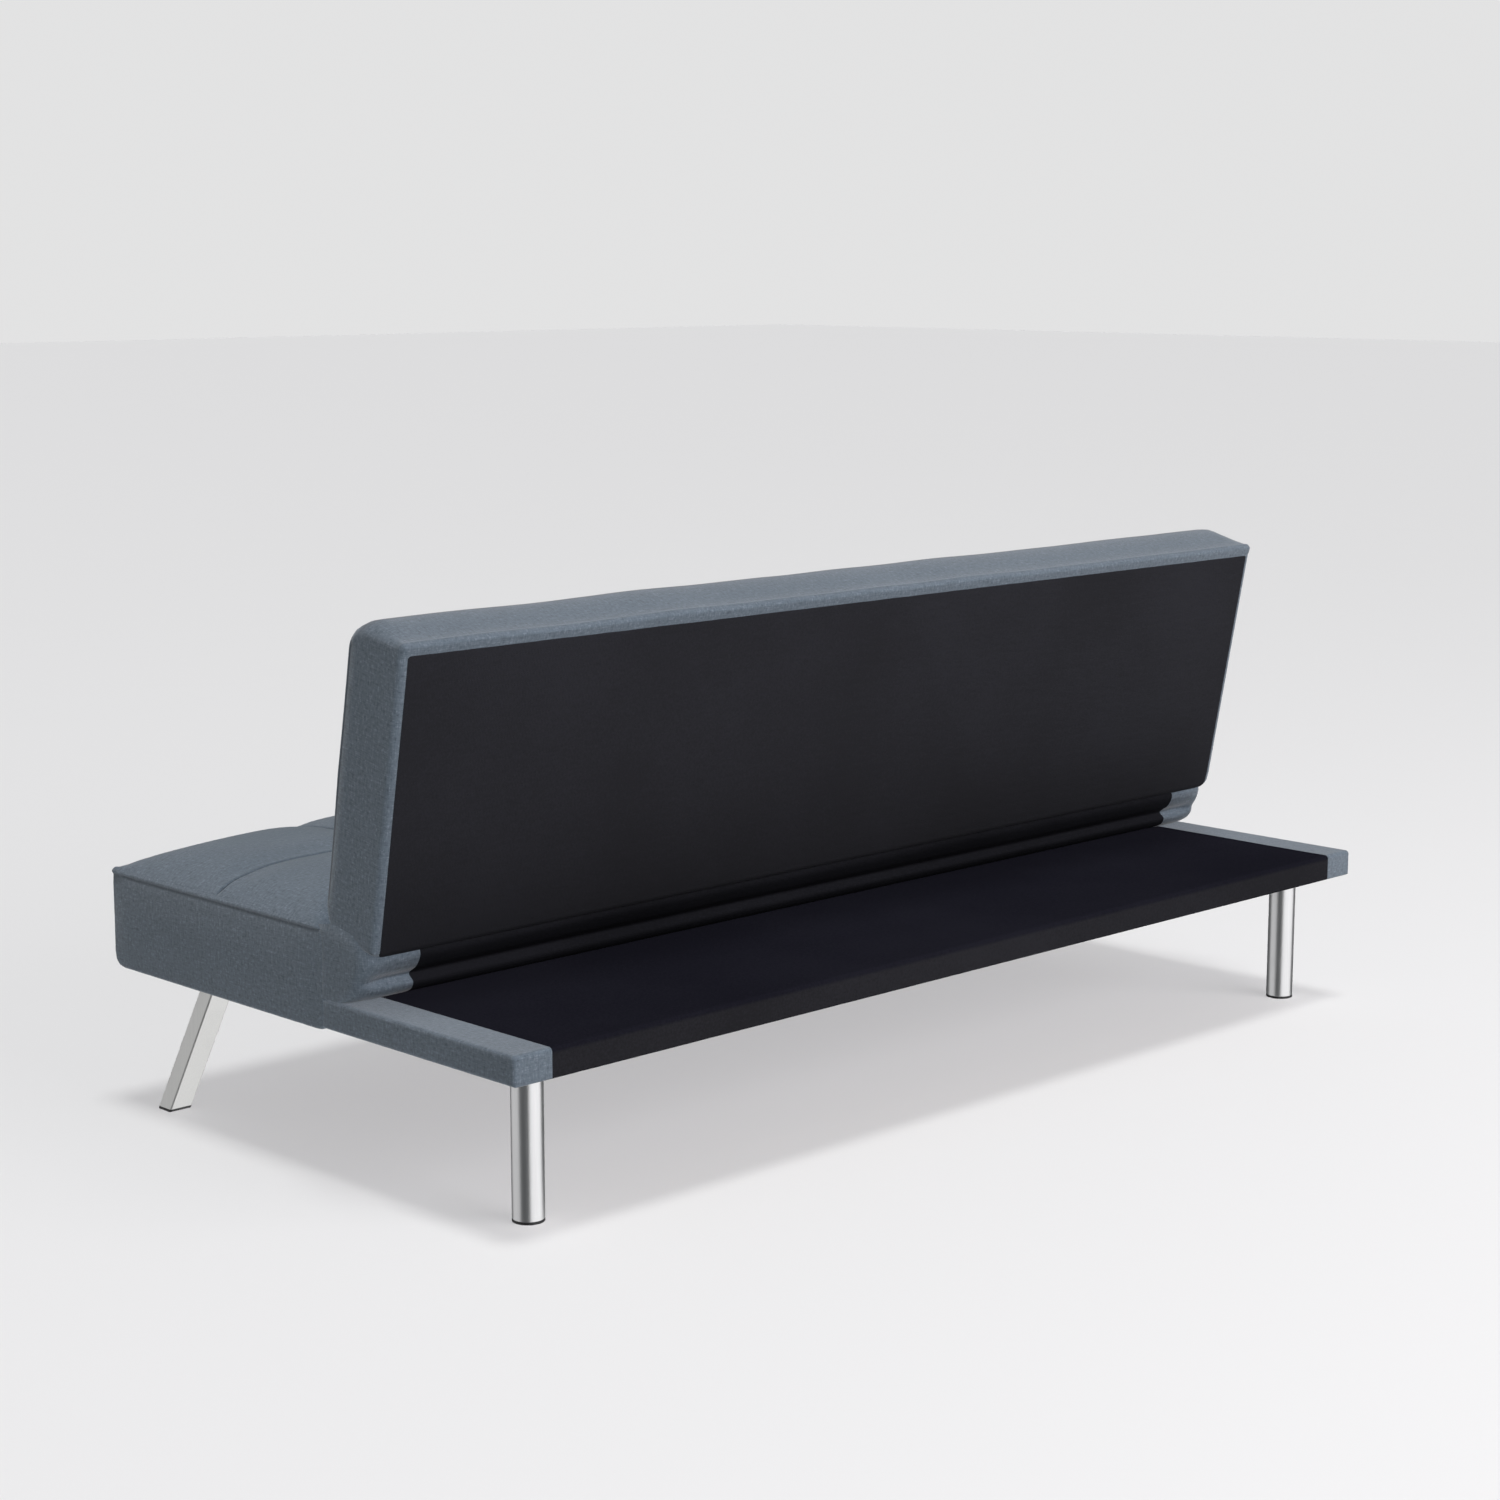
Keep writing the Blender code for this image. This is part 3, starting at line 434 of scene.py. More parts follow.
def pick(piece, kind, test):  # leaves the piece in edit mode with what passes selected
    alone(piece)
    bpy.ops.object.mode_set(mode="EDIT")
    bpy.ops.mesh.select_mode(type=kind)
    bpy.ops.mesh.select_all(action="DESELECT")
    shape = bmesh.from_edit_mesh(piece.data)
    for part in {"VERT": shape.verts, "EDGE": shape.edges, "FACE": shape.faces}[kind]:
        if test(part):
            part.select_set(True)
    bmesh.update_edit_mesh(piece.data)


def done():
    bpy.ops.object.mode_set(mode="OBJECT")


def soften(piece, test, offset, segments):  # bevels the edges that pass
    pick(piece, "EDGE", test)
    bpy.ops.mesh.bevel(offset=offset, segments=segments)
    done()


def edgeHeight(edge):
    return (edge.verts[0].co.z + edge.verts[1].co.z) / 2


def edgeClimb(edge):
    return abs(edge.verts[0].co.z - edge.verts[1].co.z)


def applyAll(piece):
    alone(piece)
    for modifier in list(piece.modifiers):
        bpy.ops.object.modifier_apply(modifier=modifier.name)


def wrapUp(piece, finish, body=None, smooth=40):
    piece.data.materials.clear()
    piece.data.materials.append(finishes[finish])
    alone(piece)
    bpy.ops.object.shade_smooth_by_angle(angle=math.radians(smooth))
    if body:
        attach(piece, body)
    return piece


def places(piece):
    found = np.empty(len(piece.data.vertices) * 3)
    piece.data.vertices.foreach_get("co", found)
    return found.reshape(-1, 3)


def replace(piece, found):
    piece.data.vertices.foreach_set("co", found.ravel())
    piece.data.update()


def pieceFrom(shape, name):
    mesh = bpy.data.meshes.new(name)
    shape.to_mesh(mesh)
    shape.free()
    piece = bpy.data.objects.new(name, mesh)
    bpy.context.scene.collection.objects.link(piece)
    return piece


def boxGrid(name, lines, sides="xXyYzZ"):  # the faces of a box on a grid of lines
    shape = bmesh.new()
    made = {}

    def vertex(place):
        if place not in made:
            made[place] = shape.verts.new([lines[axis][place[axis]] for axis in range(3)])
        return made[place]

    for side in sides:
        axis = "xyz".index(side.lower())
        across, along = ((1, 2), (2, 0), (0, 1))[axis]
        fixed = 0 if side.islower() else len(lines[axis]) - 1
        for i in range(len(lines[across]) - 1):
            for j in range(len(lines[along]) - 1):
                loop = []
                for right, up in ((0, 0), (1, 0), (1, 1), (0, 1)):
                    place = [fixed, fixed, fixed]
                    place[across], place[along] = i + right, j + up
                    loop.append(vertex(tuple(place)))
                if side.islower():
                    loop.reverse()
                shape.faces.new(loop)
    return pieceFrom(shape, name)


closeLines = (0.0008, 0.0020, 0.0034, 0.0050, 0.0072, 0.0105)


def gridLines(low, high, step, seams=()):  # even lines, and close ones on both sides of each seam and end
    marks = [low, *seams, high]
    found = list(marks)
    for start, end in zip(marks, marks[1:]):
        found += [start + away for away in closeLines] + [end - away for away in closeLines]
        inner, outer = start + closeLines[-1], end - closeLines[-1]
        count = max(1, round((outer - inner) / step))
        found += [inner + (outer - inner) * i / count for i in range(1, count)]
    return sorted(found)


def roundCorner(across, up, corner, radius):  # a square corner's points onto its arc
    signY, signZ = corner[2], corner[3]
    outY = (across - (corner[0] - signY * radius)) * signY
    outZ = (up - (corner[1] - signZ * radius)) * signZ
    inside = (outY > 0) & (outZ > 0)
    far = np.hypot(outY, outZ)
    share = np.where(inside & (far > 0), np.maximum(outY, outZ) / np.where(far > 0, far, 1), 1)
    across = np.where(inside, corner[0] - signY * radius + signY * outY * share, across)
    up = np.where(inside, corner[1] - signZ * radius + signZ * outZ * share, up)
    return across, up


def outlineDepth(across, up, low, high, radii):  # depth inside a rounded outline, and the way out of it
    gaps = np.stack([across - low[0], high[0] - across, up - low[1], high[1] - up])
    nearest = gaps.argmin(0)
    depth = gaps.min(0)
    outY = np.choose(nearest, [-1.0, 1.0, 0.0, 0.0])
    outZ = np.choose(nearest, [0.0, 0.0, -1.0, 1.0])
    for (signY, signZ), radius in radii.items():
        middleY = (high[0] if signY > 0 else low[0]) - signY * radius
        middleZ = (high[1] if signZ > 0 else low[1]) - signZ * radius
        awayY, awayZ = (across - middleY) * signY, (up - middleZ) * signZ
        far = np.hypot(awayY, awayZ)
        inside = (awayY > 0) & (awayZ > 0)
        safe = np.where(far > 1e-9, far, 1)
        depth = np.where(inside, radius - far, depth)
        outY = np.where(inside, signY * awayY / safe, outY)
        outZ = np.where(inside, signZ * awayZ / safe, outZ)
    return depth, outY, outZ


def roundedBlock(found, low, high, radii, endRadius):  # a grid box with its long edges and ends rounded
    x, y, z = found.T.copy()
    for (signY, signZ), radius in radii.items():
        corner = (high[1] if signY > 0 else low[1], high[2] if signZ > 0 else low[2], signY, signZ)
        y, z = roundCorner(y, z, corner, radius)
    depth, outY, outZ = outlineDepth(y, z, low[1:], high[1:], radii)
    inset = high[0] - np.abs(x)
    turning = (inset < endRadius) & (depth < endRadius)
    wayX, wayOut = inset - endRadius, depth - endRadius
    far = np.hypot(wayX, wayOut)
    far = np.where(far > 1e-9, far, 1)
    most = np.maximum(-wayX, -wayOut)
    newInset = np.where(turning, endRadius + wayX * most / far, inset)
    newDepth = np.where(turning, endRadius + wayOut * most / far, depth)
    y = y + outY * (depth - newDepth)
    z = z + outZ * (depth - newDepth)
    x = np.sign(x) * (high[0] - newInset)
    return np.stack([x, y, z], 1)


def wave(value, low, high):  # 0 below low, 1 above high, smooth between
    share = np.clip((value - low) / (high - low), 0, 1)
    return share * share * (3 - 2 * share)


def bell(value, half):  # 1 at zero, fading on both sides
    return np.exp(-(value / half) ** 2)


def onSide(value, side):  # 1 on the box side that lies at this value, 0 from 6 mm inside it
    return wave(value, side - 0.006, side - 0.002)


def clothUv(piece):  # each face takes its two longest directions, in metres
    mesh = piece.data
    layer = mesh.uv_layers.get("weave") or mesh.uv_layers.new(name="weave")
    corners = np.empty(len(mesh.loops), int)
    mesh.loops.foreach_get("vertex_index", corners)
    normals = np.empty(len(mesh.polygons) * 3)
    mesh.polygons.foreach_get("normal", normals)
    sizes = np.empty(len(mesh.polygons), int)
    mesh.polygons.foreach_get("loop_total", sizes)
    facing = np.abs(normals.reshape(-1, 3)).argmax(1).repeat(sizes)
    points = places(piece)[corners]
    across = np.where(facing == 0, points[:, 1], points[:, 0])
    up = np.where(facing == 2, points[:, 1], points[:, 2])
    layer.data.foreach_set("uv", np.stack([across, up + 3.0 * (facing == 1)], 1).ravel())


# stores painted shade for sewn channels, grooves and folds as the seam attribute
def markPaintedShade(piece, values):
    mark = piece.data.attributes.new("seam", "FLOAT", "POINT")
    mark.data.foreach_set("value", values.astype(np.float32))


swelling = dict(voxel=0.009, frames=20, quality=4, pressure=4.0, mass=0.3, tension=12.0, bending=0.4,
                neighbours=6, nearness=0.002)


def swell(piece, held, most):  # cloth pressure on a copy of the cushion, whose moves the piece then takes
    alone(piece)
    bpy.ops.object.duplicate()
    blown = bpy.context.object
    remesh = blown.modifiers.new("voxels", "REMESH")
    remesh.mode = "VOXEL"
    remesh.voxel_size = swelling["voxel"]
    applyAll(blown)
    before = places(blown)
    group = blown.vertex_groups.new(name="held")
    group.add([int(i) for i in np.flatnonzero(held(before))], 1.0, "REPLACE")
    cloth = blown.modifiers.new("swell", "CLOTH")
    settings = cloth.settings
    settings.quality = swelling["quality"]
    settings.mass = swelling["mass"]
    settings.tension_stiffness = settings.compression_stiffness = swelling["tension"]
    settings.bending_stiffness = swelling["bending"]
    settings.use_pressure = True
    settings.uniform_pressure_force = swelling["pressure"]
    settings.vertex_group_mass = "held"
    settings.effector_weights.gravity = 0
    cloth.point_cache.frame_start = 1
    cloth.point_cache.frame_end = swelling["frames"]
    scene = bpy.context.scene
    for step in range(1, swelling["frames"] + 1):
        scene.frame_set(step)
    applyAll(blown)
    moved = places(blown) - before
    scene.frame_set(1)
    length = np.linalg.norm(moved, axis=1, keepdims=True)
    moved *= np.minimum(1, most / np.maximum(length, 1e-9))
    print(f"{piece.name} swelled by up to {min(most, float(length.max())) * 1000:.1f} mm,",
          len(before), "points")
    tree = kdtree.KDTree(len(before))
    for i, point in enumerate(before):
        tree.insert(point, i)
    tree.balance()
    found = places(piece)
    for i, point in enumerate(found):
        near = tree.find_n(point, swelling["neighbours"])
        weights = np.array([1 / (away + swelling["nearness"]) ** 2 for _, _, away in near])
        shift = sum(w * moved[index] for w, (_, index, _) in zip(weights, near)) / weights.sum()
        found[i] = found[i] + shift
    replace(piece, found)
    bpy.data.objects.remove(blown)


def dropFaces(piece, test):
    pick(piece, "FACE", test)
    bpy.ops.mesh.delete(type="FACE")
    done()


def thicken(piece, thickness):  # inwards, with a rim
    solid = piece.modifiers.new("cloth", "SOLIDIFY")
    solid.thickness = thickness
    solid.offset = -1
    solid.use_rim = True
    applyAll(piece)


def unevenness(found, scale, amount, seed):  # slow, soft noise along the surface
    return np.array([noise.noise(Vector(p) * scale + Vector((seed, 0, 0))) for p in found]) * amount


columnSeams = [0.28 * i for i in range(-2, 3)]  # sewn across both cushions


def seamDistance(x, other, rowSeam):  # to the nearest sewn channel
    return np.minimum.reduce([*(abs(x - seam) for seam in columnSeams), np.abs(other - rowSeam)])


# Seat cushion: one long mattress, sewn in six columns and two rows

seat = dict(
    low=(0.0, -0.4225, 0.1892), high=(outerX, 0.0560, 0.3235), crown=0.3638,
    sideDrop=0.0410, sideRun=0.042, frontDrop=0.0240, cornerDrop=0.0190, cornerRun=0.30,
    cornerReach=0.18, frontRun=0.045, rearDrop=0.0350,
    rowSeam=-0.1775, step=0.011,
    radii={(-1, -1): 0.020, (-1, 1): 0.007, (1, 1): 0.015, (1, -1): 0.016}, endRadius=0.005,
    seamHalf=0.0016, heldHalf=0.0055, channelDepth=0.0028, channelHalf=0.0022, dipDepth=0.0050, dipHalf=0.030,
    grooveDrop=0.0065, grooveHalf=0.0016, ridgeDrop=0.0020, ridgeHalf=0.0022, weltDepth=0.00144,
    # painted shade in the welt groove
    grooveShadeTone=0.75, lip=0.0042, lipSide=0.016, lipFront=0.030, swell=0.0032, past=0.002,
    hem=0.022, cloth=0.0011,
)


def seatCrown(x, y):  # height of the top over the whole seat
    inset = seat["high"][0] - np.abs(x)
    side = seat["sideDrop"] * np.exp(-inset / seat["sideRun"])
    corner = seat["cornerDrop"] * np.clip(1 - inset / seat["cornerRun"], 0, 1) ** 1.3
    toFront, toRear = y - seat["low"][1], seat["high"][1] - y
    front = seat["frontDrop"] * np.exp(-toFront / seat["frontRun"])
    front = front + corner * np.exp(-toFront / seat["cornerReach"])
    rear = (seat["rearDrop"] + 0.3 * corner) * np.exp(-toRear / seat["frontRun"])
    power = 6
    drop = (side ** power + front ** power + rear ** power) ** (1 / power)
    return seat["crown"] - drop


def welt(below, there):  # the sewn edge, a rolled ridge over a groove: its relief, and the painted shade in its groove
    groove = bell(below - seat["grooveDrop"], seat["grooveHalf"])
    ridge = bell(below - seat["ridgeDrop"], seat["ridgeHalf"])
    return seat["weltDepth"] * (ridge - groove) * there, seat["grooveShadeTone"] * groove * there


def makeSeat():
    high, low = seat["high"], (-seat["high"][0], *seat["low"][1:])
    lines = (gridLines(low[0], high[0], seat["step"], columnSeams),
             gridLines(low[1], high[1], seat["step"], [seat["rowSeam"]]),
             gridLines(low[2], high[2], seat["step"]))
    piece = boxGrid("seat_cushion", lines)
    found = roundedBlock(places(piece), low, high, seat["radii"], seat["endRadius"])
    unshaded = seatCrown(found[:, 0], found[:, 1]) - high[2]
    corner = (high[0] - np.abs(found[:, 0])) / seat["lipSide"], (found[:, 1] - low[1]) / seat["lipFront"]
    lip = seat["lip"] * np.exp(-corner[0] ** 2 - corner[1] ** 2)
    found[:, 2] += (np.maximum(unshaded, 0) + lip) * wave(found[:, 2], high[2] - 0.085, high[2])
    replace(piece, found)

    def held(points):
        x, y, z = points.T
        top = z > seatCrown(x, y) - 0.012
        sewn = seamDistance(x, y, seat["rowSeam"]) < seat["heldHalf"]
        edge = (high[0] - np.abs(x) < 0.007) & (z > high[2] - 0.016)
        return (z < 0.206) | (top & sewn) | edge | (y > high[1] - 0.012)

    swell(piece, held, seat["swell"])
    found = places(piece)
    x, y, z = found.T.copy()
    top = wave(z, seatCrown(x, y) - 0.014, seatCrown(x, y) - 0.004)
    inward = np.minimum(high[0] - np.abs(x), y - low[1])
    away = seamDistance(x, y, seat["rowSeam"])
    fade = top * wave(inward, 0.0005, 0.012)
    found[:, 2] -= seat["channelDepth"] * bell(away, seat["channelHalf"]) * fade
    crown = wave(z, high[2] - 0.07, high[2]) * wave(high[0] - np.abs(x), 0.004, 0.06)
    found[:, 2] -= seat["dipDepth"] * bell(away, seat["dipHalf"]) * crown
    endRelief, endGrooveShade = welt(high[2] - z, onSide(np.abs(x), high[0]))
    frontRelief, frontGrooveShade = welt(seatCrown(x, low[1]) - z, onSide(-y, -low[1]))
    found[:, 0] += np.sign(x) * endRelief
    found[:, 0] = np.clip(found[:, 0], -outerX - seat["past"], outerX + seat["past"])
    found[:, 1] -= frontRelief
    replace(piece, found)
    # painted shade along the sewn channels and in the welt grooves
    markPaintedShade(piece, np.maximum.reduce([bell(away, seat["seamHalf"]) * fade, endGrooveShade, frontGrooveShade]))
    clothUv(piece)
    hem = seat["hem"]
    dropFaces(piece, lambda face: face.normal.z < -0.9 and abs(face.calc_center_median().x) < high[0] - hem
              and low[1] + hem + 0.01 < face.calc_center_median().y)
    thicken(piece, seat["cloth"])
    wrapUp(piece, "grey", "base", 60)
    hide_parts("seat_cover", "seat_foam")


makeSeat()
print("seat cushion")


# Backrest cushion, worked in the backrest's own upright frame

back = dict(
    low=(0.0, -0.0625, 0.0290), high=(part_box("back_cover")[1].x + 0.0004, 0.0437, 0.4290),
    radii={(-1, 1): 0.034, (-1, -1): 0.040, (1, 1): 0.0055, (1, -1): 0.010}, endRadius=0.0088,
    rowSeam=0.235, step=0.012, lowerCorner={1: 0.008, -1: 0.021}, swell=0.006, seamHalf=0.0016,
    heldHalf=0.0055, channelDepth=0.0026, channelHalf=0.0022, dipDepth=0.0035, dipHalf=0.020,
    topRear=-0.0004, topFront=0.0092, topRamp=(-0.042, 0.022), shoulderRun=0.013, topWander=0.0022,
    hemEdge=0.4145, hemRise=0.0012, ridge=0.00072, ridgeAt=0.4245, ridgeHalf=0.0022,
    topRidge=0.0012, topRidgeIn=0.005, topRidgeHalf=0.003,
    # painted shade shares for the top seam, the edge seams and the corner fold line
    topSeam=-0.0395, topSeamDepth=0.0008, topSeamHalf=0.0013, topSeamShade=0.55,
    edgeSeamIn=0.0075, edgeSeamDepth=0.0016, edgeSeamHalf=0.0018, edgeSeamShade=0.9,
    foldLow=0.0310, foldSlope=0.60, foldFrom=(0.022, 0.034), foldShade=0.9,
)


def lowerCornerInset(found, half, bottom):  # pulls the ends in as they come down to the bottom
    for side, radius in back["lowerCorner"].items():
        height = np.clip((found[:, 2] - bottom) / radius, 0, 1)
        pull = radius * (1 - np.sqrt(1 - (1 - height) ** 2))
        found[:, 0] -= side * pull * wave(side * found[:, 0], half - 0.06, half)
    return found


def makeBack():
    high, low = back["high"], (-back["high"][0], *back["low"][1:])
    upSeams = [back["rowSeam"], back["hemEdge"] - closeLines[-1]]
    lines = (gridLines(low[0], high[0], back["step"], columnSeams), gridLines(low[1], high[1], back["step"]),
             gridLines(low[2], high[2], back["step"], upSeams))
    piece = boxGrid("back_cushion", lines)
    found = roundedBlock(places(piece), low, high, back["radii"], back["endRadius"])
    found = lowerCornerInset(found, high[0], low[2])
    shoulder = 1 - bell(high[0] - np.abs(found[:, 0]), back["shoulderRun"])
    rise = back["topRear"] + back["topFront"] * wave(-found[:, 1], *back["topRamp"]) * shoulder
    found[:, 2] += rise * wave(found[:, 2], high[2] - 0.06, high[2])
    replace(piece, found)

    def held(points):
        x, y, z = points.T
        front = y < low[1] + 0.010
        sewn = seamDistance(x, z, back["rowSeam"]) < back["heldHalf"]
        edge = (np.abs(x) > high[0] - 0.004) | (z > high[2] - 0.020)
        return (y > high[1] - 0.02) | (front & sewn) | edge

    swell(piece, held, back["swell"])
    found = places(piece)
    x, y, z = found.T.copy()
    inward = np.minimum.reduce([high[0] - np.abs(x), high[2] - z, z - low[2]])
    away = seamDistance(x, z, back["rowSeam"])
    front = wave(-y, -low[1] - 0.016, -low[1] - 0.006) * wave(inward, 0.004, 0.03)
    channel = back["channelDepth"] * bell(away, back["channelHalf"])
    dip = back["dipDepth"] * bell(away, back["dipHalf"])
    found[:, 1] += (channel + dip) * front

    # rear: the grey hem stands over the black panel, and its fold makes a ridge along the top edge
    rear = wave(y, high[1] - 0.004, high[1] - 0.001)
    hem = wave(z, back["hemEdge"] - 0.0004, back["hemEdge"] + 0.0004)
    fold = bell(z - back["ridgeAt"], back["ridgeHalf"])
    found[:, 1] += rear * (back["hemRise"] * hem + back["ridge"] * fold)
    topFace = wave(z, high[2] - 0.009, high[2] - 0.005)
    topRidge = bell(y - high[1] + back["topRidgeIn"], back["topRidgeHalf"])
    wander = unevenness(found * (1, 0.3, 0.3), 6.0, back["topWander"], 3.1)
    found[:, 2] += topFace * (back["topRidge"] * topRidge + wander)

    # seams: down the front edge of each end and along the top; these and the sewn channels carry painted
    # shade
    atEnd = onSide(np.abs(x), high[0])
    edgeSeam = bell(y - low[1] - back["edgeSeamIn"], back["edgeSeamHalf"]) * wave(z, 0.05, 0.08) * atEnd
    found[:, 0] -= np.sign(x) * back["edgeSeamDepth"] * edgeSeam
    topSeam = bell(y - back["topSeam"], back["topSeamHalf"]) * topFace
    found[:, 2] -= back["topSeamDepth"] * topSeam
    # painted shade only: a dark line for a tucked fold at each lower rear corner, with no fold in the shape
    foldLine = back["foldLow"] + (high[1] - y) * back["foldSlope"]
    paintedFoldLine = bell(z - foldLine, back["seamHalf"]) * wave(y, *back["foldFrom"]) * atEnd
    markPaintedShade(piece, np.maximum.reduce([bell(away, back["seamHalf"]) * front, edgeSeam * back["edgeSeamShade"],
                                        topSeam * back["topSeamShade"], paintedFoldLine * back["foldShade"]]))
    replace(piece, found)
    clothUv(piece)
    piece.data.transform(backFrame)
    wrapUp(piece, "grey", "backrest", 60)
    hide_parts("back_cover", "back_foam")


makeBack()
print("backrest cushion")


# Black panel on the rear of the backrest, drawn tight over the frame

panel = dict(side=0.0088, out=0.0443, bottom=0.0275, cloth=0.0008, step=0.018, topCorner=0.006,
             lowCorner={1: 0.012, -1: 0.020}, roll=0.0030, rollDepth=0.0016, bottomRoll=0.0090,
             bottomShare=0.8, pucker=0.0003, ripple=0.00025, rippleReach=0.05, sink=0.0002)


def makePanel():
    half = back["high"][0] - panel["side"]
    top = back["hemEdge"] + 0.0003
    xs = gridLines(-half, half, panel["step"])
    ups = gridLines(panel["bottom"], top, panel["step"])
    piece = boxGrid("back_panel_cloth", (xs, [0.0, panel["out"]], ups), "Y")
    found = places(piece)
    radii = {}
    for side in (1, -1):
        radii[side, 1] = panel["topCorner"]
        radii[side, -1] = panel["lowCorner"][side]
    for (side, up), radius in radii.items():
        edge = top if up > 0 else panel["bottom"]
        corner = (side * half, edge, side, up)
        found[:, 0], found[:, 2] = roundCorner(found[:, 0], found[:, 2], corner, radius)
    depth, _, _ = outlineDepth(found[:, 0], found[:, 2], (-half, panel["bottom"]), (half, top), radii)
    edge = np.clip(1 - depth / panel["roll"], 0, 1)
    found[:, 1] -= panel["rollDepth"] * edge ** 2
    under = np.clip(1 - (found[:, 2] - panel["bottom"]) / panel["bottomRoll"], 0, 1)
    found[:, 1] -= panel["bottomRoll"] * (1 - np.sqrt(1 - under ** 2)) * panel["bottomShare"]
    found[:, 1] += unevenness(found * (1, 1, 0.5), 7.0, panel["pucker"], 8.2) * wave(depth, 0.0, 0.05)
    ripple = unevenness(found * (1, 1, 0.2), 34.0, panel["ripple"], 2.7)
    found[:, 1] += ripple * wave(panel["rippleReach"] - depth, 0.0, 0.045) - panel["sink"]
    replace(piece, found)
    thicken(piece, panel["cloth"])
    piece.data.transform(backFrame)
    wrapUp(piece, "backBlack", "backrest", 60)
    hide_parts("back_panel")


makePanel()
print("back panel")


# Hinge cloth behind the backrest: two soft rolls, black in the middle and grey at the ends

gusset = dict(
    path=((0.0960, 0.2322), (0.1040, 0.2338), (0.1210, 0.2415), (0.1262, 0.2520), (0.1180, 0.2612),
          (0.1325, 0.2725), (0.1410, 0.2860), (0.1405, 0.2955), (0.1310, 0.2990)),
    softPath=((0.0960, 0.2322), (0.1060, 0.2360), (0.1170, 0.2435), (0.1250, 0.2530), (0.1300, 0.2630),
              (0.1345, 0.2740), (0.1380, 0.2850), (0.1390, 0.2945), (0.1370, 0.3010)),
    seam=0.7550, side=outerX, corner=0.018, frontY=0.0440, frontTop=0.3235, arch=0.0026, cloth=0.0009,
    middleSteps=150, rearSteps=9, cornerSteps=7, sideSteps=12, endLength=0.175, floorGap=0.0012,
    softFrom=0.795, softTo=0.842, lapFrom=0.80, lapRear=(0.020, 0.058), lapLow=0.030, lapDrop=0.0052,
    tuck=0.0022, tuckFrom=0.0455, tuckTo=0.0535, slowWander=0.0016, quickWander=0.0007,
    blendStart=(0, 0.0575, 0.3210), blendReach=0.0235, blendWay=(0, 0.8, 0.6),
)


def smoothPath(points, each=5):  # a soft line through a few points
    points = [Vector((*p, 0)) if len(p) == 2 else Vector(p) for p in points]
    ends = [points[0] * 2 - points[1], *points, points[-1] * 2 - points[-2]]
    found = []
    for a, b, c, d in zip(ends, ends[1:], ends[2:], ends[3:]):
        for i in range(each):
            t = i / each
            found.append(0.5 * (2 * b + (c - a) * t + (2 * a - 5 * b + 4 * c - d) * t * t
                                + (3 * b - a - 3 * c + d) * t ** 3))
    found.append(points[-1])
    return [(p.x, p.y) for p in found]


def stripGrid(name, rows):  # a cloth from rows of points
    shape = bmesh.new()
    made = [[shape.verts.new(p) for p in row] for row in rows]
    for lower, upper in zip(made, made[1:]):
        for i in range(len(lower) - 1):
            shape.faces.new((lower[i], lower[i + 1], upper[i + 1], upper[i]))
    bmesh.ops.remove_doubles(shape, verts=shape.verts[:], dist=0.00002)
    return pieceFrom(shape, name)


def foldOf(x, share):  # slow wander of the rolls along the sofa
    slow = noise.noise(Vector((x * 2.1, share * 3.0, 1.7)))
    quick = noise.noise(Vector((x * 7.0, share * 5.0, 4.2)))
    return (gusset["slowWander"] * slow + gusset["quickWander"] * quick) * math.sin(math.pi * share)


def makeGussetMiddle():
    path = smoothPath(gusset["path"])
    count = gusset["middleSteps"]
    xs = [gusset["seam"] * (1 - 2 * i / count) for i in range(count + 1)]
    rows = []
    for j, (y, z) in enumerate(path):
        share = j / (len(path) - 1)
        rows.append([(x, y + foldOf(x, share), z + 0.3 * foldOf(x + 3, share)) for x in xs])
    piece = stripGrid("hinge_cloth_middle", rows)
    thicken(piece, gusset["cloth"])
    wrapUp(piece, "gussetBlack", None, 70)
    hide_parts("gusset_back")
    blendHingeCloth(piece)


def blendHingeCloth(piece):
    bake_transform(piece)


def wallX(y, z):  # the side of the hinge cloth: level with the seat's end, laid against the backrest's end
    along = (y - pivot.y) * math.sin(lean) + (z - pivot.z) * math.cos(lean)
    lap = gusset["lapDrop"] * float(wave(along, gusset["lapLow"], gusset["lapRear"][1] - 0.002))
    tuck = gusset["tuck"] * float(wave(-y, -gusset["tuckTo"], -gusset["tuckFrom"]))
    return gusset["side"] - lap - tuck


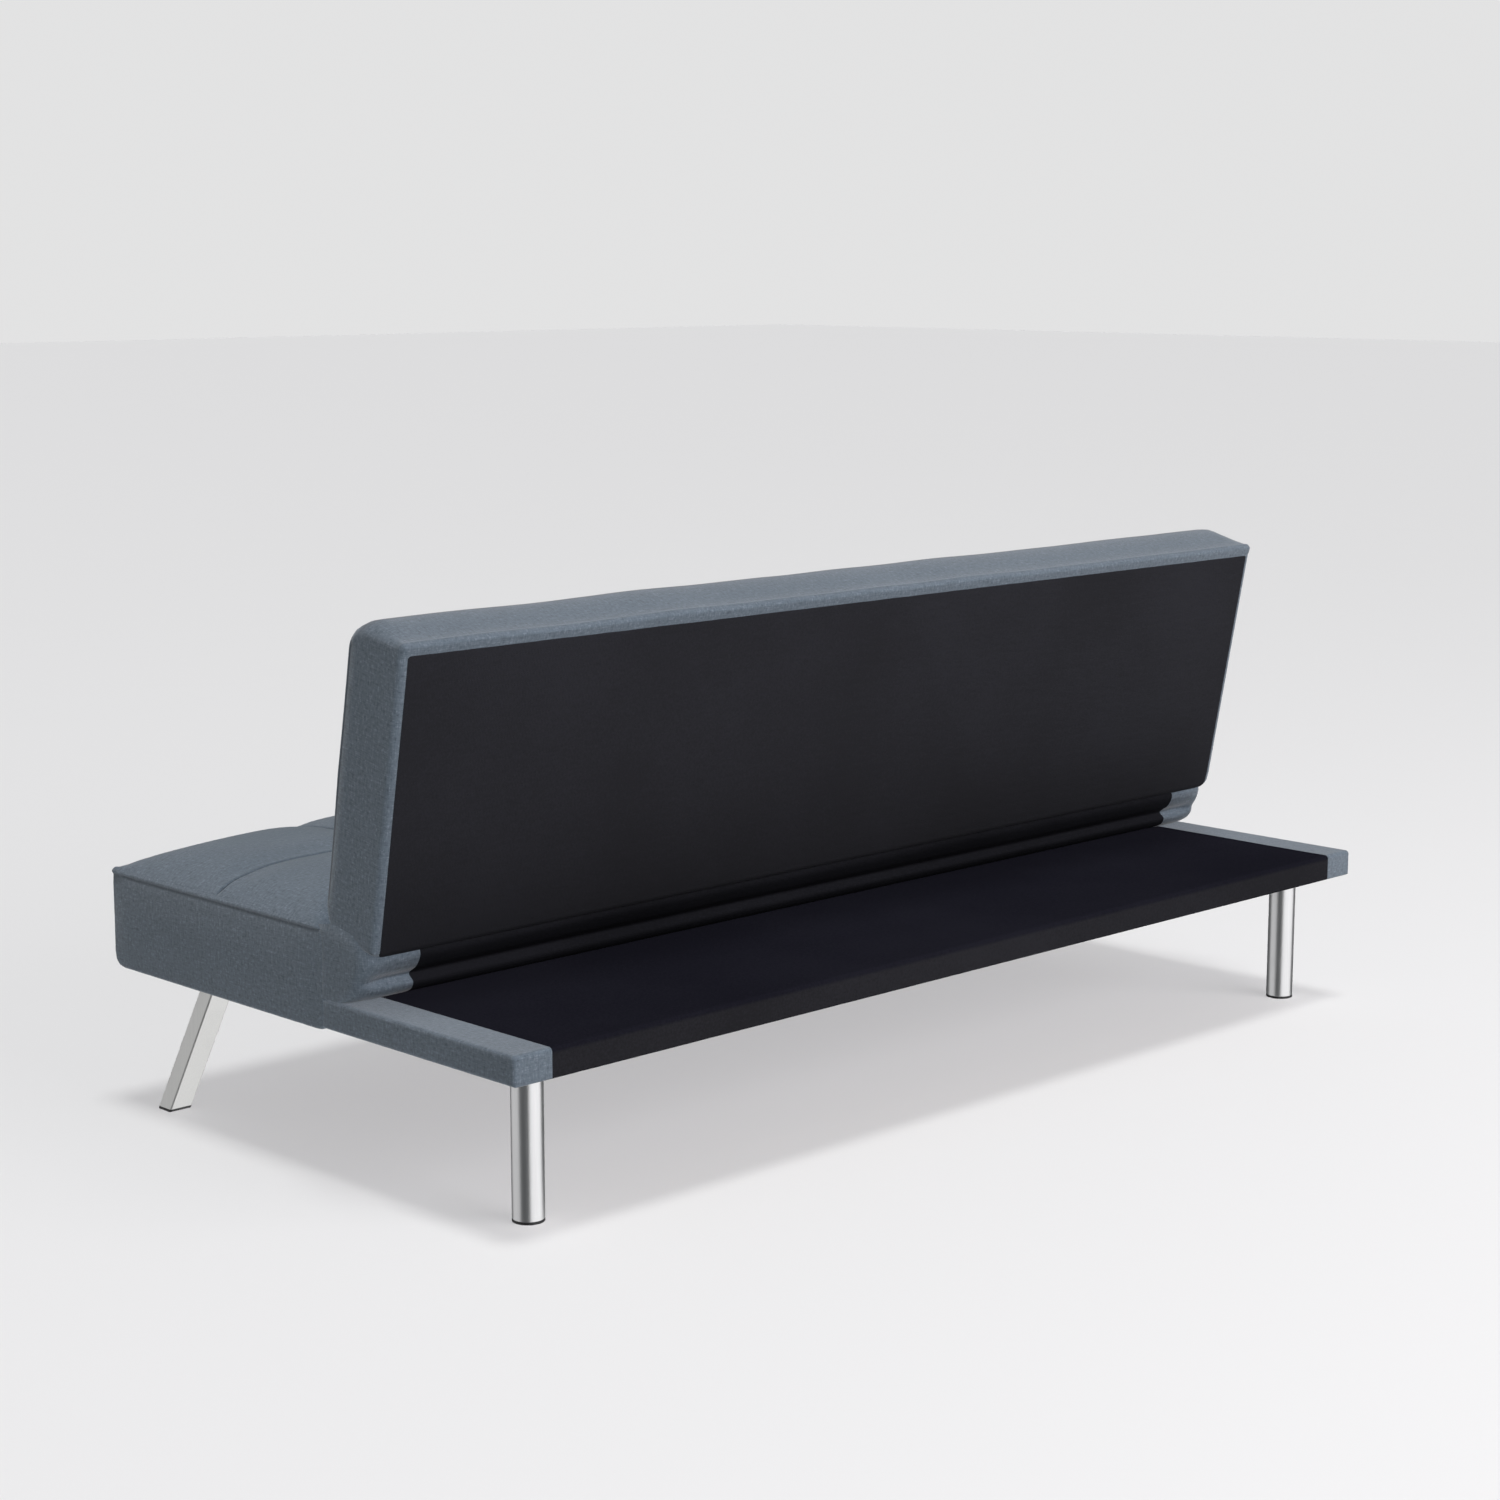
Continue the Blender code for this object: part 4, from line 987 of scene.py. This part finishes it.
def makeGussetEnd(side, ending):
    folded, soft = smoothPath(gusset["path"]), smoothPath(gusset["softPath"])
    radius = gusset["corner"]
    rearLap = backFrame @ Vector((0, *gusset["lapRear"]))
    rows = []
    for j, ((foldY, foldZ), (softY, softZ)) in enumerate(zip(folded, soft)):
        share = j / (len(folded) - 1)
        lap = float(wave(share, gusset["lapFrom"], 1.0))
        endY, endZ = softY + (rearLap.y - softY) * lap, softZ + (rearLap.z - softZ) * lap
        wall = wallX(endY, endZ)
        wander = foldOf(side * gusset["seam"], share)
        row = []
        count = gusset["rearSteps"]
        for i in range(count + 1):
            x = gusset["seam"] + (wall - radius - gusset["seam"]) * i / count
            calm = float(wave(x, gusset["softFrom"], gusset["softTo"]))
            y = foldY + (endY - foldY) * calm + wander * (1 - calm)
            row.append((side * x, y, foldZ + (endZ - foldZ) * calm))
        lastY, lastZ = row[-1][1:]
        count = gusset["cornerSteps"]
        for i in range(1, count + 1):
            angle = math.radians(90) * i / count
            ease = i / count
            y = lastY + (endY - lastY) * ease - radius * (1 - math.cos(angle))
            row.append((side * (wall - radius * (1 - math.sin(angle))), y, lastZ + (endZ - lastZ) * ease))
        startY = endY - radius
        frontZ = platformTop + gusset["floorGap"] + (gusset["frontTop"] - platformTop) * share
        count = gusset["sideSteps"]
        for i in range(1, count + 1):
            y = startY + (gusset["frontY"] - startY) * i / count
            arch = gusset["arch"] * share ** 4 * math.sin(math.pi * i / count)
            z = endZ + (frontZ - endZ) * i / count + arch
            row.append((side * wallX(y, z), y, z))
        rows.append(row)
    if side > 0:
        rows = [row[::-1] for row in rows]
    piece = stripGrid(f"hinge_cloth_{ending}", rows)
    clothUv(piece)
    thicken(piece, gusset["cloth"])
    wrapUp(piece, "grey", None, 70)
    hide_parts(f"gusset_end_{ending}")
    blendHingeCloth(piece)


makeGussetMiddle()
for side, ending in ((1, "left"), (-1, "right")):
    makeGussetEnd(side, ending)
print("hinge cloth")


# Pleat between the seat and the backrest

crease = dict(path=((0.0790, 0.3060), (0.0740, 0.2995), (0.0700, 0.2935), (0.0640, 0.2900), (0.0592, 0.2960),
                    (0.0578, 0.3080), (0.0576, 0.3190)), half=0.832, steps=140, cloth=0.0010,
              blendStart=(0, 0.0585, 0.30), blendEnd=(0, 0.0735, 0.30))


def makeCrease():
    path = smoothPath(crease["path"])
    xs = [crease["half"] * (2 * i / crease["steps"] - 1) for i in range(crease["steps"] + 1)]
    rows = []
    for j, (y, z) in enumerate(path):
        share = j / (len(path) - 1)
        rows.append([(x, y + 0.4 * foldOf(x + 5, share), z) for x in xs])
    piece = stripGrid("crease_cloth_pleat", rows)
    clothUv(piece)
    thicken(piece, crease["cloth"])
    wrapUp(piece, "grey", None, 70)
    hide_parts("crease_cloth")
    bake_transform(piece)


makeCrease()
print("crease cloth")


# Platform behind the seat: black cloth over the board, with a grey strip round each end

platform = dict(front=0.0560, stripFront=0.0340, seam=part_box("platform_end_left")[0].x, topRadius=0.0055,
                lowRadius=0.0025, endRadius=0.0045, hem=0.030, step=0.014, cloth=0.0010, gap=0.0006,
                sag=0.0004, tuck=0.0022)


def makePlatformCloth(name, lowX, highX, sides, ending=None):
    front = platform["stripFront"] if ending else platform["front"]
    low, high = (-outerX, front, platformBottom), (outerX, rearY, platformTop)
    lines = (gridLines(lowX, highX, platform["step"]), gridLines(low[1], high[1], platform["step"]),
             gridLines(low[2], high[2], platform["step"]))
    piece = boxGrid(name, lines, sides)
    radii = {(1, 1): platform["topRadius"], (1, -1): platform["lowRadius"]}
    found = roundedBlock(places(piece), low, high, radii, platform["endRadius"])
    top = wave(found[:, 2], high[2] - 0.002, high[2] - 0.001)
    inner = wave(np.minimum(high[0] - np.abs(found[:, 0]), high[1] - found[:, 1]), 0.01, 0.05)
    found[:, 2] += top * inner * (unevenness(found, 9.0, platform["sag"], 5.5) - platform["sag"] / 2)
    found[:, 0] -= np.sign(found[:, 0]) * platform["tuck"] * wave(-found[:, 1], -0.058, -front)
    replace(piece, found)
    clothUv(piece)
    limit = high[1] - platform["hem"]
    dropFaces(piece, lambda face: face.normal.z < -0.9 and face.calc_center_median().y < limit
              and abs(face.calc_center_median().x) < outerX - platform["hem"])
    thicken(piece, platform["cloth"])
    grey = ending is not None
    wrapUp(piece, "grey" if grey else "platformBlack", "base", 60)
    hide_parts(f"platform_end_{ending}" if grey else "platform_cover")
    depth = high[1] - low[1]
    height = high[2] - low[2]
    width = highX - lowX + (height + platform["hem"] if grey else 0)
    depth + height + platform["hem"]


blackHalf = platform["seam"] - platform["gap"]
makePlatformCloth("platform_top_cloth", -blackHalf, blackHalf, "YZz")
makePlatformCloth("platform_end_cloth_left", platform["seam"], outerX, "XYZz", "left")
makePlatformCloth("platform_end_cloth_right", -outerX, -platform["seam"], "xYZz", "right")
print("platform cloth")


# Black dust cover, stapled under the frame

dust = dict(sag=0.0022, sagRun=0.12, ripple=0.0006, rippleRun=0.03, cloth=0.0005, count=(90, 42))


def makeDustCover():
    low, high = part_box("dust_cover")
    bpy.ops.object.select_all(action="DESELECT")
    size = high - low
    bpy.ops.mesh.primitive_grid_add(x_subdivisions=dust["count"][0], y_subdivisions=dust["count"][1], size=1,
                                    location=(low + high) / 2)
    piece = bpy.context.object
    piece.scale = (size.x, size.y, 1)
    piece = settled(piece, "dust_cover_cloth")
    found = places(piece)
    x, y, _ = found.T
    edge = np.minimum.reduce([x - low.x, high.x - x, y - low.y, high.y - y])
    ripple = unevenness(found, 11.0, dust["ripple"], 9.9) * wave(edge, 0, dust["rippleRun"])
    found[:, 2] -= dust["sag"] * wave(edge, 0.0, dust["sagRun"]) + ripple
    replace(piece, found)
    pick(piece, "FACE", lambda face: True)
    bpy.ops.mesh.flip_normals()
    done()
    thicken(piece, dust["cloth"])
    wrapUp(piece, "platformBlack", "base", 60)
    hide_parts("dust_cover")


makeDustCover()
print("dust cover")


# Legs

rearLeg = dict(radius=0.0200, around=96, bottom=0.0035, top=0.1888, flangeRadius=0.0310, flangeTop=0.1912,
               softEdge=0.0007, glideRadius=0.0201, glideHeight=0.0032, glideEdge=0.0006)
frontLeg = dict(deep=0.0291, lean=math.radians(30.7), footY=-0.3405, softEdge=0.0030, footEdge=0.0005,
                bottom=0.0035, top=0.1890, plateTop=0.1912, plateX=(0.7680, 0.8265), plateHalf=0.042,
                plateAt=0.19, plateEdge=0.005, plateSink=0.0002, glideHeight=0.0032)


def cylinder(name, centre, radius, bottom, top):
    bpy.ops.object.select_all(action="DESELECT")
    bpy.ops.mesh.primitive_cylinder_add(vertices=rearLeg["around"], radius=radius, depth=top - bottom,
                                        location=(centre.x, centre.y, (bottom + top) / 2))
    return settled(bpy.context.object, name)


def turnedLeg(ending):
    low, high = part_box(f"rear_leg_{ending}")
    centre = (low + high) / 2
    bottom, top = rearLeg["bottom"], rearLeg["top"]
    piece = cylinder(f"rear_leg_tube_{ending}", centre, rearLeg["radius"], bottom, top)
    grow = rearLeg["flangeRadius"] / rearLeg["radius"]
    pick(piece, "FACE", lambda face: face.normal.z > 0.9)
    bpy.ops.mesh.extrude_region_move()
    bpy.ops.transform.resize(value=(grow, grow, 1), center_override=(centre.x, centre.y, top))
    bpy.ops.mesh.extrude_region_move(TRANSFORM_OT_translate=dict(value=(0, 0, rearLeg["flangeTop"] - top)))
    done()
    soften(piece, lambda edge: abs(edgeHeight(edge) - bottom) < 1e-5 and edge.calc_face_angle(0) > 1,
           rearLeg["softEdge"], 3)
    wrapUp(piece, "chrome", "base", 35)
    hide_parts(f"rear_leg_{ending}")

    glide = cylinder(f"rear_glide_disc_{ending}", centre, rearLeg["glideRadius"], 0, rearLeg["glideHeight"])
    soften(glide, lambda edge: edge.calc_face_angle(0) > 1, rearLeg["glideEdge"], 2)
    wrapUp(glide, "plastic", "base", 35)
    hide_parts(f"rear_glide_{ending}")


def slantedTube(name, lowX, highX, bottom, top):
    half = frontLeg["deep"] / 2
    middle = frontLeg["footY"] + bottom * math.tan(frontLeg["lean"])
    piece = newBox(name, (lowX, middle - half, bottom), (highX, middle + half, top))
    pick(piece, "VERT", lambda vertex: vertex.co.z > (bottom + top) / 2)
    bpy.ops.transform.translate(value=(0, (top - bottom) * math.tan(frontLeg["lean"]), 0))
    done()
    soften(piece, lambda edge: edgeClimb(edge) > 0.5 * (top - bottom), frontLeg["softEdge"], 5)
    return piece


def slantedLeg(side, ending):
    low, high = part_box(f"front_glide_{ending}")
    tube = slantedTube(f"front_leg_tube_{ending}", low.x, high.x, frontLeg["bottom"], frontLeg["top"])
    soften(tube, lambda edge: edgeHeight(edge) < frontLeg["bottom"] + 1e-4, frontLeg["footEdge"], 2)
    plateX = sorted(side * x for x in frontLeg["plateX"])
    plateY = frontLeg["footY"] + frontLeg["plateAt"] * math.tan(frontLeg["lean"])
    plateHalf = frontLeg["plateHalf"]
    plate = newBox("plate", (plateX[0], plateY - plateHalf, frontLeg["top"] - frontLeg["plateSink"]),
                   (plateX[1], plateY + plateHalf, frontLeg["plateTop"]))
    soften(plate, lambda edge: edgeClimb(edge) > 0.001, frontLeg["plateEdge"], 4)
    bpy.ops.object.select_all(action="DESELECT")
    plate.select_set(True)
    tube.select_set(True)
    bpy.context.view_layer.objects.active = tube
    bpy.ops.object.join()
    wrapUp(tube, "satin", "base", 35)
    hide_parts(f"front_leg_{ending}")
    glide = slantedTube(f"front_glide_pad_{ending}", low.x, high.x, 0.0, frontLeg["glideHeight"])
    wrapUp(glide, "plastic", "base", 35)
    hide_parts(f"front_glide_{ending}")


for side, ending in ((1, "left"), (-1, "right")):
    turnedLeg(ending)
    slantedLeg(side, ending)
print("legs")
